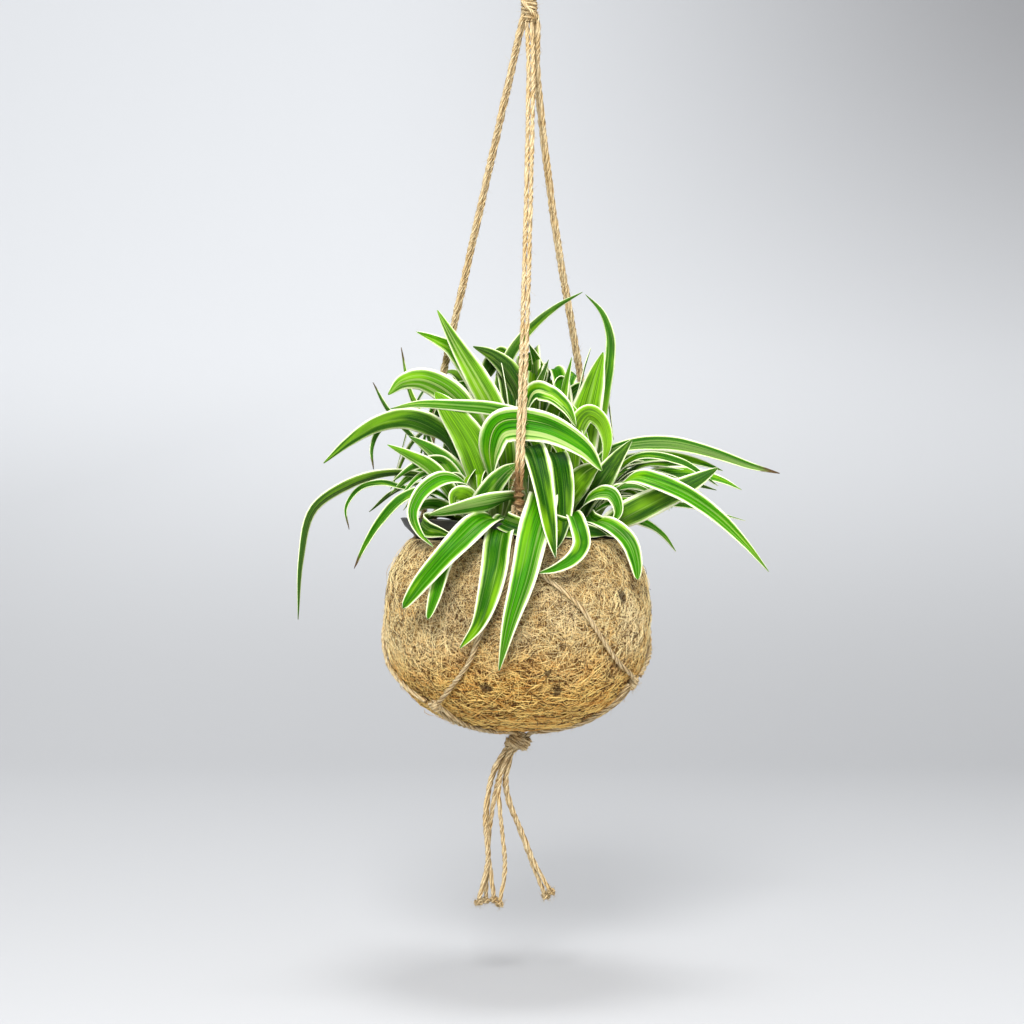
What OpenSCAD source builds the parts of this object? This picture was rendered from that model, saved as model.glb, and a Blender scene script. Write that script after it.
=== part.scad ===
/* [Hanger] */
// Height of the hanging loop's inner top above the pot's rim
hang_h = 415; // [405:1:430]
// Diameter of one jute twine
twine_d = 2.9; // [2.6:0.1:3]
// How far the top knot hangs to the right of the bowl's centre
hang_x = 8; // [6:1:10]

/* [Coir bowl] */
// Greatest outside radius of the bowl
bowl_r = 90; // [90:1:92]
// Half the height of the outside curve
bowl_half_h = 76; // [76:1:78]
// Depth of the widest place below the rim
bowl_mid = 52; // [51:1:53]
// Wall thickness at the widest place
bowl_wall = 7; // [6:0.5:8]
// Squareness of the bowl's curve, 2 for an ellipse
bowl_square = 2.4; // [2.3:0.05:2.5]

/* [Nursery pot] */
// Radius of the flared collar's top edge
collar_r = 75; // [74:0.5:76]
// Radius of the pot's body at the collar
body_r = 61; // [60:0.5:62]
// Radius of the pot's base
base_r = 41; // [38:1:42]
// Wall thickness of the pot
pot_wall = 1.2; // [1:0.1:1.4]
// How far the pot leans, its left side up
pot_lean = 3; // [2:0.5:3.5]
// Number of drainage holes
drain_holes = 6; // [4:1:8]

/* [Plant] */
// Thickness of a leaf along its midrib
leaf_t = 0.9; // [0.7:0.1:1.2]
// How far a leaf folds up into a channel, as a part of its width
leaf_fold = 0.1; // [0.05:0.01:0.2]
// Radius of one crown, where its leaves leave the soil
crown_r = 14; // [13:0.5:15]
// Number of small leaves behind
back_leaves = 20; // [20:4:24]

/* [Hidden] */
NODES = [
  "hanging_loop", "top_knot", "front_leg_twines", "left_leg_twines", "right_leg_twines",
  "front_upper_knot", "left_upper_knot", "right_upper_knot",
  "front_net_twines", "left_net_twines", "right_net_twines",
  "lower_knot_left", "lower_knot_right", "lower_knot_back", "base_twines", "bottom_knot",
  "tail_twine_1", "tail_twine_2", "tail_twine_3", "tail_twine_4", "tail_twine_5", "tail_twine_6",
  "tail_knots", "coir_bowl", "nursery_pot", "potting_mix",
  "left_crown", "middle_crown", "right_crown", "back_crown",
  "top_arch_leaf", "top_twist_leaf", "left_spire_leaves", "middle_spear_leaves",
  "right_spear_leaves", "left_broad_leaves", "left_sweep_leaf", "left_thin_leaves",
  "left_short_leaves", "left_long_leaf", "left_trailing_leaves", "left_curl_leaf",
  "left_inner_leaves", "front_cross_leaves", "front_left_leaves", "front_drop_leaf",
  "front_long_leaf", "front_ribbon_leaves", "front_arch_leaves", "right_long_leaf",
  "right_side_leaves", "right_wide_leaf", "right_droop_leaves", "right_fan_leaves",
  "right_low_leaves", "right_inner_leaves", "back_leaves_1", "back_leaves_2", "back_leaves_3", "back_leaves_4"];

twine_r = twine_d / 2;
gap = 0.2;                  // clearance between a twine and what it lies on
soil_top = -3;
crown_top = 5.8;
leaf_base = 6;
knot_top = 373;
knot_low = 351;
jute = "tan";
leaf_rings = 13;
curve_fn = 96;

// ---- leaves: node, width, roll at base, middle and tip, midrib from base to tip ----
LEAVES = [
["top_arch_leaf", 8, [0, -50, -40],
  [[-2,10,6],[-12,14,60],[-12,12,104],[-5,8,126],[9,4,144],[26,0,158],[44,-4,168]]],
["top_twist_leaf", 8, [0, -60, -85],
  [[51,6,6],[56,10,60],[60,10,98],[63,5,120],[63,-1,138],[57,-6,154],[46,-8,166]]],
["top_twist_leaf", 24, [0, -62, -66],
  [[41,6,6],[41,3,44],[45,-1,80],[51,-4,106],[58,-6,127]]],
["left_spire_leaves", 18, [10, 40, 50],
  [[-14,1,6],[-8,-6,50],[-15,-12,84],[-27,-13,108],[-40,-13,130],[-54,-11,155]]],
["left_spire_leaves", 12, [0, -60, -80],
  [[-18,10,6],[-20,16,60],[-30,14,104],[-43,12,128],[-55,10,136],[-69,8,142]]],
["middle_spear_leaves", 16, [10, 50, 65],
  [[6,7,6],[7,8,56],[4,5,94],[-5,2,114],[-17,-2,125],[-30,-6,131]]],
["middle_spear_leaves", 12, [0, 80, 90],
  [[12,23,6],[23,28,60],[21,23,100],[14,18,122],[8,15,134]]],
["middle_spear_leaves", 15, [0, -60, -70],
  [[1,11,6],[-5,25,56],[-13,27,88],[-25,25,110],[-38,22,119]]],
["middle_spear_leaves", 15, [0, 60, 70],
  [[16,8,6],[22,11,54],[30,17,86],[41,22,103],[52,24,105]]],
["middle_spear_leaves", 9, [0, 38, 38],
  [[15,0,6],[10,-2,60],[12,-4,96],[21,-6,122]]],
["right_spear_leaves", 10, [0, 12, 12],
  [[33,6,6],[32,8,60],[31,4,96],[37,0,124]]],
["right_spear_leaves", 11, [0, -60, -70],
  [[38,9,6],[38,19,70],[44,16,108],[50,12,131]]],
["right_spear_leaves", 10, [0, 50, 54],
  [[46,9,6],[50,14,76],[53,15,112],[58,15,127]]],
["left_broad_leaves", 21, [0, 60, 65],
  [[-23,7,6],[-22,3,50],[-29,0,78],[-45,-1,98],[-63,-1,108],[-78,2,107],[-88,6,99]]],
["left_broad_leaves", 15, [0, -50, -60],
  [[-12,8,6],[-10,22,60],[-20,20,90],[-34,20,104],[-46,26,107]]],
["left_broad_leaves", 10, [0, 70, 80],
  [[13,-8,6],[16,-20,50],[4,-28,80],[-14,-31,87],[-42,-29,90],[-66,-27,91],[-85,-25,88]]],
["left_sweep_leaf", 17, [0, 60, 60],
  [[-28,2,6],[-35,0,40],[-46,-4,66],[-60,-7,77],[-76,-8,82],[-95,-8,78],[-113,-8,67],
   [-131,-8,52]]],
["left_thin_leaves", 7, [0, 60, 60],
  [[-26,8,6],[-46,12,60],[-66,10,84],[-84,8,83],[-94,6,75],[-99,4,62],[-98,4,48]]],
["left_thin_leaves", 6, [0, 60, 60],
  [[-29,-2,6],[-53,4,50],[-65,4,82],[-74,4,104],[-79,4,131]]],
["left_thin_leaves", 5, [0, 60, 60],
  [[-29,8,6],[-62,26,58],[-88,18,88],[-99,16,108]]],
["left_short_leaves", 11, [0, 60, 65],
  [[-26,-6,6],[-38,-14,22],[-51,-20,41],[-61,-22,51],[-74,-24,58],[-87,-24,64]]],
["left_short_leaves", 14, [0, 55, 60],
  [[-25,-2,6],[-34,-7,28],[-45,-11,49],[-58,-13,61],[-73,-13,70]]],
["left_short_leaves", 9, [0, 50, 70],
  [[-31,-9,6],[-42,-22,18],[-54,-29,24],[-66,-33,22],[-72,-35,12]]],
["left_long_leaf", 10, [0, 40, 60],
  [[-32,-1,6],[-44,0,30],[-62,2,42],[-86,2,45],[-113,0,38],[-139,0,20],[-147,0,-14],[-149,0,-54]]],
["left_trailing_leaves", 5, [0, -60, -70],
  [[-34,4,6],[-56,9,28],[-80,10,36],[-94,11,39],[-108,10,35],[-117,10,22],[-115,10,7]]],
["left_trailing_leaves", 8, [0, -60, -70],
  [[-31,-8,6],[-48,-11,27],[-63,-12,33],[-79,-14,27],[-93,-14,12],[-103,-14,-4],[-110,-14,-19]]],
["left_curl_leaf", 11, [20, -70, -75],
  [[-27,-12,6],[-28,-24,22],[-36,-34,38],[-49,-44,41],[-62,-50,33],[-69,-53,19],[-65,-56,6],
   [-55,-58,-4]]],
["left_inner_leaves", 24, [0, 40, 50],
  [[-19,-6,6],[-19,-18,28],[-25,-25,50],[-34,-27,70],[-46,-27,88],[-55,-27,99]]],
["left_inner_leaves", 12, [20, 60, 90],
  [[-23,-13,6],[-27,-32,20],[-34,-44,30],[-42,-49,29],[-41,-52,16]]],
["front_cross_leaves", 14, [0, 70, 85],
  [[-9,-4,6],[0,-36,26],[-4,-60,28],[-18,-70,25],[-34,-74,22],[-48,-74,19],[-58,-72,17]]],
["front_cross_leaves", 15, [0, -45, -50],
  [[-21,-15,6],[-26,-38,20],[-18,-52,34],[-8,-58,45],[1,-60,51]]],
["front_left_leaves", 18, [0, -25, -35],
  [[-9,-10,6],[-14,-50,12],[-24,-76,10],[-40,-92,-3],[-59,-92,-23],[-74,-84,-43]]],
["front_left_leaves", 12, [0, -25, -35],
  [[-17,-9,6],[-28,-46,9],[-38,-70,5],[-47,-86,-12],[-53,-88,-34],[-58,-88,-50]]],
["front_drop_leaf", 19, [0, 0, -10],
  [[-4,-11,6],[-6,-38,15],[-9,-62,11],[-12,-82,1],[-15,-94,-18],[-20,-98,-38],[-26,-99,-54],
   [-37,-96,-68]]],
["front_long_leaf", 21, [0, 0, -5],
  [[7,-12,6],[16,-48,28],[16,-74,24],[10,-92,6],[3,-101,-24],[-5,-104,-52],[-12,-101,-82]]],
["front_ribbon_leaves", 17, [0, 5, 5],
  [[11,-8,6],[8,-32,46],[8,-46,62],[12,-62,54],[17,-83,30],[21,-98,6],[24,-103,-10]]],
["front_ribbon_leaves", 16, [0, 8, 5],
  [[29,-5,6],[23,-30,46],[24,-44,58],[28,-56,48],[30,-66,24],[28,-73,6],[24,-76,-6]]],
["front_arch_leaves", 25, [50, 122, 118],
  [[-14,-14,6],[-15,-38,38],[-16,-49,62],[-8,-54,76],[18,-58,74],[42,-60,61],[55,-61,46]]],
["front_arch_leaves", 15, [0, 90, 92],
  [[4,-7,6],[3,-16,58],[9,-22,96],[21,-24,98],[32,-26,89],[39,-28,76]]],
["right_long_leaf", 12, [0, 60, 70],
  [[45,-2,6],[49,-4,40],[60,-8,57],[78,-10,64],[104,-12,65],[130,-14,59],[156,-16,50],
   [176,-18,45]]],
["right_side_leaves", 10, [0, 60, 70],
  [[50,1,6],[58,2,34],[70,2,50],[87,0,56],[106,-2,56],[125,-3,52],[139,-4,47]]],
["right_side_leaves", 11, [0, 60, 70],
  [[51,-5,6],[61,-6,26],[76,-7,38],[94,-8,44],[117,-9,45],[136,-10,41],[151,-12,34]]],
["right_wide_leaf", 19, [0, -60, -66],
  [[47,-13,6],[57,-30,6],[68,-40,14],[86,-45,24],[104,-47,33],[120,-47,41],[132,-47,48]]],
["right_droop_leaves", 13, [0, 55, 60],
  [[50,-8,6],[64,-34,30],[76,-52,41],[90,-60,39],[111,-62,30],[131,-62,16],[148,-62,-1],
   [164,-62,-20]]],
["right_droop_leaves", 5, [0, 60, 60],
  [[53,4,6],[74,10,20],[92,12,24],[110,12,24],[130,12,20],[156,12,13]]],
["right_fan_leaves", 8, [0, 60, 70],
  [[47,-10,6],[53,-23,24],[62,-30,33],[77,-33,36],[92,-35,31]]],
["right_fan_leaves", 7, [0, 60, 70],
  [[44,-13,6],[51,-29,18],[62,-37,25],[76,-42,26],[89,-45,20]]],
["right_fan_leaves", 9, [0, 40, 60],
  [[53,-6,6],[68,-4,12],[84,0,12],[98,4,4],[108,6,-8]]],
["right_low_leaves", 13, [0, 40, 45],
  [[41,-15,6],[47,-40,12],[56,-54,12],[65,-62,7],[73,-66,-2],[77,-68,-14],[78,-69,-25]]],
["right_low_leaves", 11, [20, 80, 85],
  [[39,-12,6],[45,-38,24],[53,-47,31],[62,-51,30],[66,-52,19],[60,-50,9]]],
["right_low_leaves", 12, [0, 5, -10],
  [[33,-11,6],[35,-56,18],[39,-80,10],[41,-90,-2],[35,-94,-11],[24,-96,-17],[13,-98,-20]]],
["right_inner_leaves", 13, [0, -60, -90],
  [[35,-1,6],[38,-10,50],[40,-15,74],[47,-18,85],[56,-20,80],[60,-22,66],[57,-24,50]]],
["right_inner_leaves", 17, [0, -55, -59],
  [[41,-9,6],[46,-21,26],[54,-30,38],[64,-33,52],[76,-34,67]]],
["right_inner_leaves", 18, [0, -28, -33],
  [[30,-7,6],[32,-30,24],[38,-38,36],[46,-44,45],[54,-47,50]]]
];

// ---- small curve helpers ----
function unit(v) = v / norm(v);
function blend4(a, b, c, d, f) =
  (2*b + (c - a)*f + (2*a - 5*b + 4*c - d)*f*f + (3*b - a - 3*c + d)*f*f*f) / 2;
function ends_out(p) = concat([2*p[0] - p[1]], p, [2*p[len(p)-1] - p[len(p)-2]]);
function at_part(q, u) = let (k = min(floor(u), len(q) - 4)) blend4(q[k], q[k+1], q[k+2], q[k+3], u - k);
// A smooth curve through the points p, as rings + 1 evenly parted places
function curve(p, rings) = let (q = ends_out(p)) [for (i = [0:rings]) at_part(q, i / rings * (len(p) - 1))];
function along(m) = let (n = len(m) - 1) [for (i = [0:n]) unit(m[min(i + 1, n)] - m[max(i - 1, 0)])];
function squared(s, t) = unit(s - (s * t) * t);
// A side direction that follows the curve without twisting
function carried(t, s0) = [for (i = 0, s = squared(s0, t[0]); i < len(t);
  i = i + 1, s = squared(s, t[min(i, len(t) - 1)])) s];
function three_way(v, t) = t < 0.5 ? v[0] + (v[1] - v[0]) * t * 2 : v[1] + (v[2] - v[1]) * (t * 2 - 1);

// Joins rings of points into one closed skin. The far half of each ring is split the other way,
// so that the two faces of a thin, twisted skin stay apart
module skin(rings) {
  k = len(rings[0]);
  n = len(rings) - 1;
  walls = [for (i = [0:n-1], j = [0:k-1]) each let (a = i*k + j, b = i*k + (j + 1) % k)
    j < k / 2 ? [[a, a + k, b + k], [a, b + k, b]] : [[a, a + k, b], [b, a + k, b + k]]];
  caps = [[for (j = [0:k-1]) j], [for (j = [k-1:-1:0]) n*k + j]];
  polyhedron([for (r = rings) each r], concat(walls, caps));
}

// ---- twine ----
module tube(p, rings, r = twine_r, swell = 0) {
  m = curve(p, rings);
  t = along(m);
  s = carried(t, abs(t[0][2]) > 0.9 ? [1, 0, 0] : [0, 0, 1]);
  skin([for (i = [0:rings]) let (w = r + swell * sin(180 * i / rings))
    [for (a = [0:45:315]) m[i] + w * (s[i] * cos(a) + cross(t[i], s[i]) * sin(a))]]);
}
module pair(p, rings, off) {
  for (side = [-1, 1]) tube([for (q = p) q + side * off], rings);
}
module at_rim() { translate([-hang_x, 0, -hang_h]) children(); }

leg_foot = 42;              // height of an upper knot's top
front_leg = [[8, -1, 350], [9, -10, 313], [7, -33, 218], [4, -57, 118], [1, -73, leg_foot]];
left_leg = [[3, 1, 350], [-12, 8, 285], [-27, 16, 220], [-52, 29, 110], [-64, 35, leg_foot]];
right_leg = [[13, 2, 350], [14, 8, 310], [26, 23, 215], [44, 42, 112], [52, 53, leg_foot]];
leg_space = twine_r + 0.1;

module hanging_loop() color(jute) at_rim()
  for (row = [-1:1]) let (y = row * (twine_d + gap))
    tube([[5, y/2, knot_top], [0, y, 384], [-3, y, 396], [-2, y, 406], [hang_x/2 - 1, y, 414.5],
          [hang_x, y, hang_h + twine_r + 0.6], [hang_x/2 + 9, y, 414.5], [18, y, 406], [19, y, 396],
          [16, y, 384], [11, y/2, knot_top]], 22);
module top_knot() color(jute) at_rim()
  tube([[hang_x, 0, knot_low], [hang_x, 0, knot_top]], 8, 4.2, 1.8);
module front_leg_twines() color(jute) at_rim() pair(front_leg, 9, [leg_space, 0, 0]);
module left_leg_twines() color(jute) at_rim() pair(left_leg, 9, [1, leg_space, 0]);
module right_leg_twines() color(jute) at_rim() pair(right_leg, 9, [-1, leg_space, 0]);

// An upper knot holds a leg's two twines and sends one down each way
module upper_knot(x, y) color(jute) at_rim()
  tube([[x * 1.035, y * 1.035, 15], [x * 1.01, y * 1.01, 28], [x, y, leg_foot - gap]], 8, 2.4, 1.3);
module front_upper_knot() upper_knot(1, -74);
module left_upper_knot() upper_knot(-64, 36);
module right_upper_knot() upper_knot(52, 53);

// The bowl's outside radius at a height, and a place that stands off its surface
function bowl_at(z, r, h) = r * pow(1 - pow(min(abs(z + bowl_mid) / h, 1), bowl_square), 1 / bowl_square);
function on_bowl(az, z, lift) = let (r = bowl_at(z, bowl_r, bowl_half_h), u = (z + bowl_mid) / bowl_half_h,
  n = unit([pow(r / bowl_r, bowl_square - 1) / bowl_r,
            sign(u) * pow(abs(u), bowl_square - 1) / bowl_half_h]))
  [(r + n[0] * lift) * cos(az), (r + n[0] * lift) * sin(az), z + n[1] * lift];
module net(p) tube([for (q = p) on_bowl(q[0], q[1], twine_r + gap + q[2])], 10);

// Each route is a list of [bearing, height, stand-off] round the bowl
module front_net_twines() color(jute) at_rim() {
  net([[-92.5, 13, 9], [-93, -2, 3], [-94, -25, 0], [-100, -42, 0], [-106, -62, 0],
       [-111, -78, 0], [-124, -96, 0], [-134, -104, 1]]);
  net([[-88, 13, 9], [-86, -2, 3], [-80, -21, 0], [-72, -31, 0], [-63, -44, 0], [-54, -62, 0],
       [-44, -77, 0], [-30, -87, 0], [-26, -90, 1]]);
}
module left_net_twines() color(jute) at_rim() {
  net([[153, 13, 9], [154, -2, 3], [157, -22, 0], [164, -44, 0], [174, -64, 0], [184, -78, 0],
       [193, -88, 0], [204, -97, 0], [216, -104, 1]]);
  net([[148, 13, 9], [147, -2, 3], [144, -24, 0], [137, -46, 0], [126, -68, 0], [112, -86, 0],
       [105, -95, 1]]);
}
module right_net_twines() color(jute) at_rim() {
  net([[43, 13, 9], [42, -2, 3], [38, -22, 0], [28, -42, 0], [14, -62, 0], [0, -76, 0],
       [-12, -86, 0], [-17, -89, 1]]);
  net([[48, 13, 9], [49, -2, 3], [54, -24, 0], [64, -46, 0], [76, -68, 0], [88, -86, 0],
       [95, -95, 1]]);
}

module lower_knot(az, z) color(jute) at_rim()
  tube([for (d = [-1, 0, 1]) on_bowl(az, z + 3.5 * d, 2.9 + gap)], 6, 1.6, 1.4);
module lower_knot_left() lower_knot(220, -107);
module lower_knot_right() lower_knot(-22, -93);
module lower_knot_back() lower_knot(100, -99);
module base_twines() color(jute) at_rim()
  for (k = [[220, -112.5], [-22, -99], [100, -105]], side = [-1, 1])
    tube(concat([for (z = [k[1], (k[1] - 120) / 2, -120, -126]) on_bowl(k[0] + side * 4, z, twine_r + gap)],
                [[2 + 9.5 * cos(k[0] + side * 10), 9.5 * sin(k[0] + side * 10), -130]]), 6);
module bottom_knot() color(jute) at_rim()
  tube([[4, 0, -130], [2, 0, -133.5], [-2, 0, -138], [-6.5, 0, -142.5]], 8, 4.6, 4.2);

TAILS = [
  [[-9.5,-2.5,-144], [-12,-3,-148], [-14.5,-4,-152], [-17,-4,-158], [-19,-4,-165], [-20.5,-4,-173],
   [-21.5,-4,-181], [-22,-4,-189], [-21.5,-4,-197], [-20.8,-4,-205], [-20.3,-4,-212],
   [-20.6,-4,-219], [-22,-4,-227], [-24,-4,-235], [-26,-4,-243]],
  [[-9,1,-144.5], [-11.5,1,-149], [-13.5,0,-154], [-16.5,0,-160], [-18.5,0,-167], [-19.7,0,-174],
   [-20.5,0,-181], [-20.6,0,-189], [-20.3,0,-197], [-20,0,-205], [-19.6,0,-212], [-19,0,-219],
   [-18,0,-227], [-17,0,-235], [-16,0,-242]],
  [[-6.5,4.2,-144.5], [-9,4.5,-150], [-11.5,4.5,-156], [-13,4.5,-162], [-14.5,4.5,-169],
   [-16,4.5,-176], [-17,4.5,-183], [-18,4.5,-190], [-19,4.5,-198], [-19.5,4.5,-206],
   [-19.8,4.5,-213], [-20.2,4.5,-220], [-20.8,4.5,-228], [-21.2,4.5,-236], [-21.5,4.5,-243]],
  [[-6,-4,-145], [-8.5,-5,-151], [-11,-5,-158], [-12.3,-5,-165], [-12.8,-5,-172], [-12.3,-5,-179],
   [-11.6,-5,-186], [-10.8,-5,-193], [-10.1,-5,-200], [-9.4,-5,-207], [-8.8,-5,-213],
   [-8.5,-5,-220], [-9,-5,-228], [-10.3,-5,-236], [-12,-5,-244]],
  [[-3.5,-0.8,-144], [-5,-0.5,-150], [-6.6,0,-156], [-7.6,0.3,-163], [-7,0.6,-170], [-5.6,0.8,-176],
   [-3.2,1,-183], [-0.4,1,-190], [2.6,1,-197], [5.4,1,-204], [8,1,-211], [11,1,-218],
   [14.4,1,-224.5], [18,1,-231], [21.5,1,-237]],
  [[-4,2.6,-145], [-6,4,-151], [-7.8,4.5,-157], [-8.6,4.5,-164], [-8,4.5,-171], [-6.4,4.5,-178],
   [-4,4.5,-184.5], [-1,4.5,-191], [1.8,4.5,-198], [4.4,4.5,-205], [7,4.5,-212], [9.4,4.5,-219],
   [12.2,4.5,-226], [15.2,4.5,-233], [18.4,4.5,-240.5]]];
tail_knot_r = 2.8;
module tail(i) color(jute) at_rim() tube(TAILS[i], 12);
module tail_twine_1() tail(0);
module tail_twine_2() tail(1);
module tail_twine_3() tail(2);
module tail_twine_4() tail(3);
module tail_twine_5() tail(4);
module tail_twine_6() tail(5);
module tail_knots() color(jute) at_rim()
  for (p = TAILS) let (n = len(p) - 1)
    translate(p[n] + (tail_knot_r + 0.05) * unit(p[n] - p[n - 1])) sphere(tail_knot_r, $fn = 24);

// ---- pots ----
module coir_bowl() color("peru") at_rim() {
  rim_in = 66;
  levels = 20;
  in_r = bowl_r - bowl_wall;
  in_h = bowl_half_h - 12;
  outside = [for (i = [0:levels]) let (z = -bowl_mid - bowl_half_h * cos(180 * i / levels * 0.7593))
    [bowl_at(z, bowl_r, bowl_half_h), z]];
  inside = [for (i = [levels:-1:0]) let (z = -bowl_mid - in_h * cos(180 * i / levels * 0.72))
    [min(bowl_at(z, in_r, in_h), in_r), z]];
  rotate_extrude($fn = curve_fn) polygon(concat(outside, [[rim_in + 4, 0.5]],
    [for (q = inside) if (q[1] < -4) q]));
}

// Everything in the nursery pot's own leaning frame
module leaning() { translate([-5, 0, 0]) rotate([0, pot_lean, 0]) children(); }
pot_base = -104;
module nursery_pot() color([0.16, 0.16, 0.15]) at_rim() leaning() difference() {
  rotate_extrude($fn = curve_fn) polygon([
    [0, pot_base], [base_r, pot_base], [body_r - 3, -8], [body_r, -6], [body_r + 1, -3],
    [collar_r - 3, 6], [collar_r, 11], [collar_r - pot_wall, 11.5], [collar_r - 4, 7.2],
    [body_r - 0.2, -2], [body_r - 1, -5], [body_r - 4.2, -7], [base_r - pot_wall, pot_base + pot_wall],
    [0, pot_base + pot_wall]]);
  for (i = [0:drain_holes - 1]) rotate(360 * i / drain_holes)
    translate([base_r - 13, 0, pot_base - 1]) cylinder(r = 4, h = 4, $fn = 32);
}
module potting_mix() color([0.2, 0.13, 0.08]) at_rim() difference() {
  leaning() rotate_extrude($fn = curve_fn) polygon([
    [0, pot_base + pot_wall + gap], [base_r - pot_wall - gap, pot_base + pot_wall + gap],
    [body_r - 4.5, -7.5], [body_r - 4.5, 6], [0, 6]]);
  translate([-100, -100, soil_top]) cube([200, 200, 40]);
}

// ---- plant ----
module crown(x, y) color("palegreen") at_rim() translate([x, y, soil_top])
  cylinder(r1 = crown_r + 1.5, r2 = crown_r - 1, h = crown_top - soil_top, $fn = curve_fn);
module left_crown() crown(-21, -1);
module middle_crown() crown(6.7, -1);
module right_crown() crown(41, -2);
back_crowns = [[-14, 30, 0], [22, 28, 0]];
module back_crown() for (c = back_crowns) crown(c[0], c[1]);

// Narrow where it leaves the crown, widest before the middle and drawn out to a point
function leaf_width(t) = t < 0.4 ? 0.42 + 0.58 * sin(225 * t) : 0.04 + 0.96 * pow(cos(90 * (t - 0.4) / 0.6), 0.65);
module leaf(w, roll, p) {
  m = curve(p, leaf_rings);
  t = along(m);
  reach = m[8] - m[0];
  c = carried(t, cross([reach[0], reach[1], 0], [0, 0, 1]));
  skin([for (i = [0:leaf_rings])
    let (f = i / leaf_rings, half = w * leaf_width(f) / 2, a = three_way(roll, f),
         s = c[i] * cos(a) + cross(t[i], c[i]) * sin(a), n = cross(s, t[i]),
         thick = leaf_t * (1 - 0.7 * f) / 2, up = leaf_fold * half * 2)
    [m[i] + s * half + n * up, m[i] + n * thick, m[i] - s * half + n * up, m[i] - n * thick]]);
}
module leaves_of(name) color("yellowgreen") at_rim()
  for (row = LEAVES) if (row[0] == name) leaf(row[1], row[2], row[3]);

// The leaves behind fan out from the back crown by rule
module back_leaf(i) {
  left = i < 12;
  mid = left ? 124 : 76;
  az = left ? 90 + 6.2 * i : 52 + 6.2 * (i - 12);
  tier = i % 3;
  out = [cos(az), sin(az), 0];
  foot = mid + (az - mid) * (1.2 + 0.9 * tier);
  start = back_crowns[left ? 0 : 1] + [cos(foot), sin(foot), 0] * (12 - 3 * tier) + [0, 0, leaf_base];
  reach = 96 - 15 * tier + 6 * sin(137 * i);
  rise = 38 + 33 * tier + 5 * cos(101 * i);
  leaf(10 + 3 * sin(77 * i), [0, 25 * sin(60 * i), 40 * cos(80 * i)],
    [start, start + out * 0.1 * reach + [0, 0, 0.6 * rise], start + out * 0.38 * reach + [0, 0, rise],
     start + out * 0.74 * reach + [0, 0, 0.86 * rise], start + out * reach + [0, 0, 0.4 * rise]]);
}
module back_group(first) color("olivedrab") at_rim() for (i = [first:4:back_leaves - 1]) back_leaf(i);
module back_leaves_1() back_group(0);
module back_leaves_2() back_group(1);
module back_leaves_3() back_group(2);
module back_leaves_4() back_group(3);

hanging_loop();
top_knot();
front_leg_twines();
left_leg_twines();
right_leg_twines();
front_upper_knot();
left_upper_knot();
right_upper_knot();
front_net_twines();
left_net_twines();
right_net_twines();
lower_knot_left();
lower_knot_right();
lower_knot_back();
base_twines();
bottom_knot();
tail_twine_1();
tail_twine_2();
tail_twine_3();
tail_twine_4();
tail_twine_5();
tail_twine_6();
tail_knots();
coir_bowl();
nursery_pot();
potting_mix();
left_crown();
middle_crown();
right_crown();
back_crown();
back_leaves_1();
back_leaves_2();
back_leaves_3();
back_leaves_4();
// The other leaf nodes stand from the thirty-first to the last but four of NODES
for (k = [30:len(NODES) - 5])
  leaves_of(NODES[k]);
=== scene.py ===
# A curly spider plant in a coir bowl, hung in a knotted jute hanger
import math
import bpy
import numpy as np
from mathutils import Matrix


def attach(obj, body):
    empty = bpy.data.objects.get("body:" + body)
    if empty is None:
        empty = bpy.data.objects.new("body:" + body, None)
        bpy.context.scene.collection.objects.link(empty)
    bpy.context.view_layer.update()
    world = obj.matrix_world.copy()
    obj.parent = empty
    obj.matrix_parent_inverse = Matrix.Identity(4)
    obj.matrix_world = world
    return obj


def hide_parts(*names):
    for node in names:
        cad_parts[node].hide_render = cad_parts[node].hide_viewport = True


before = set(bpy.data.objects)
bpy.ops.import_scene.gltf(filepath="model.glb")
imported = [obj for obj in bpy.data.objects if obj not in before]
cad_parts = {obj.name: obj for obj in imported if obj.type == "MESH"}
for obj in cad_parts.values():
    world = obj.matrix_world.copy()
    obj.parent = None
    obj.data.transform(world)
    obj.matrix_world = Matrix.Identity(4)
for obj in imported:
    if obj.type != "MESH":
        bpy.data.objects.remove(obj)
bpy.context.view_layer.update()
print("frame loaded:", len(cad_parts), "CAD nodes")

mm = 0.001
rimPlace = np.array([-8, 0, -415]) * mm     # centre of the bowl's rim, seen from the loop


def deselectAll():
    if bpy.context.object and bpy.context.object.mode != "OBJECT":
        bpy.ops.object.mode_set(mode="OBJECT")
    bpy.ops.object.select_all(action="DESELECT")


def pick(obj):
    deselectAll()
    obj.select_set(True)
    bpy.context.view_layer.objects.active = obj


def editWhole(*steps):     # edit-mode tools with their settings, on the whole of the active mesh
    bpy.ops.object.mode_set(mode="EDIT")
    bpy.ops.mesh.select_all(action="SELECT")
    for tool, settings in steps:
        tool(**settings)
    bpy.ops.object.mode_set(mode="OBJECT")


faceOutward = (bpy.ops.mesh.normals_make_consistent, {"inside": False})


def pointsOf(obj):
    co = np.zeros(len(obj.data.vertices) * 3)
    obj.data.vertices.foreach_get("co", co)
    return co.reshape(-1, 3)


def movePoints(obj, places):
    obj.data.vertices.foreach_set("co", places.ravel())


def mapPoints(mesh, name, pairs):     # a UV map from one pair of values for each point
    layer = mesh.uv_layers.new(name=name)
    loops = np.zeros(len(mesh.loops), int)
    mesh.loops.foreach_get("vertex_index", loops)
    layer.data.foreach_set("uv", pairs[loops].astype(np.float32).ravel())


def unit(v):
    return v / np.linalg.norm(v, axis=-1, keepdims=True)


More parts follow.
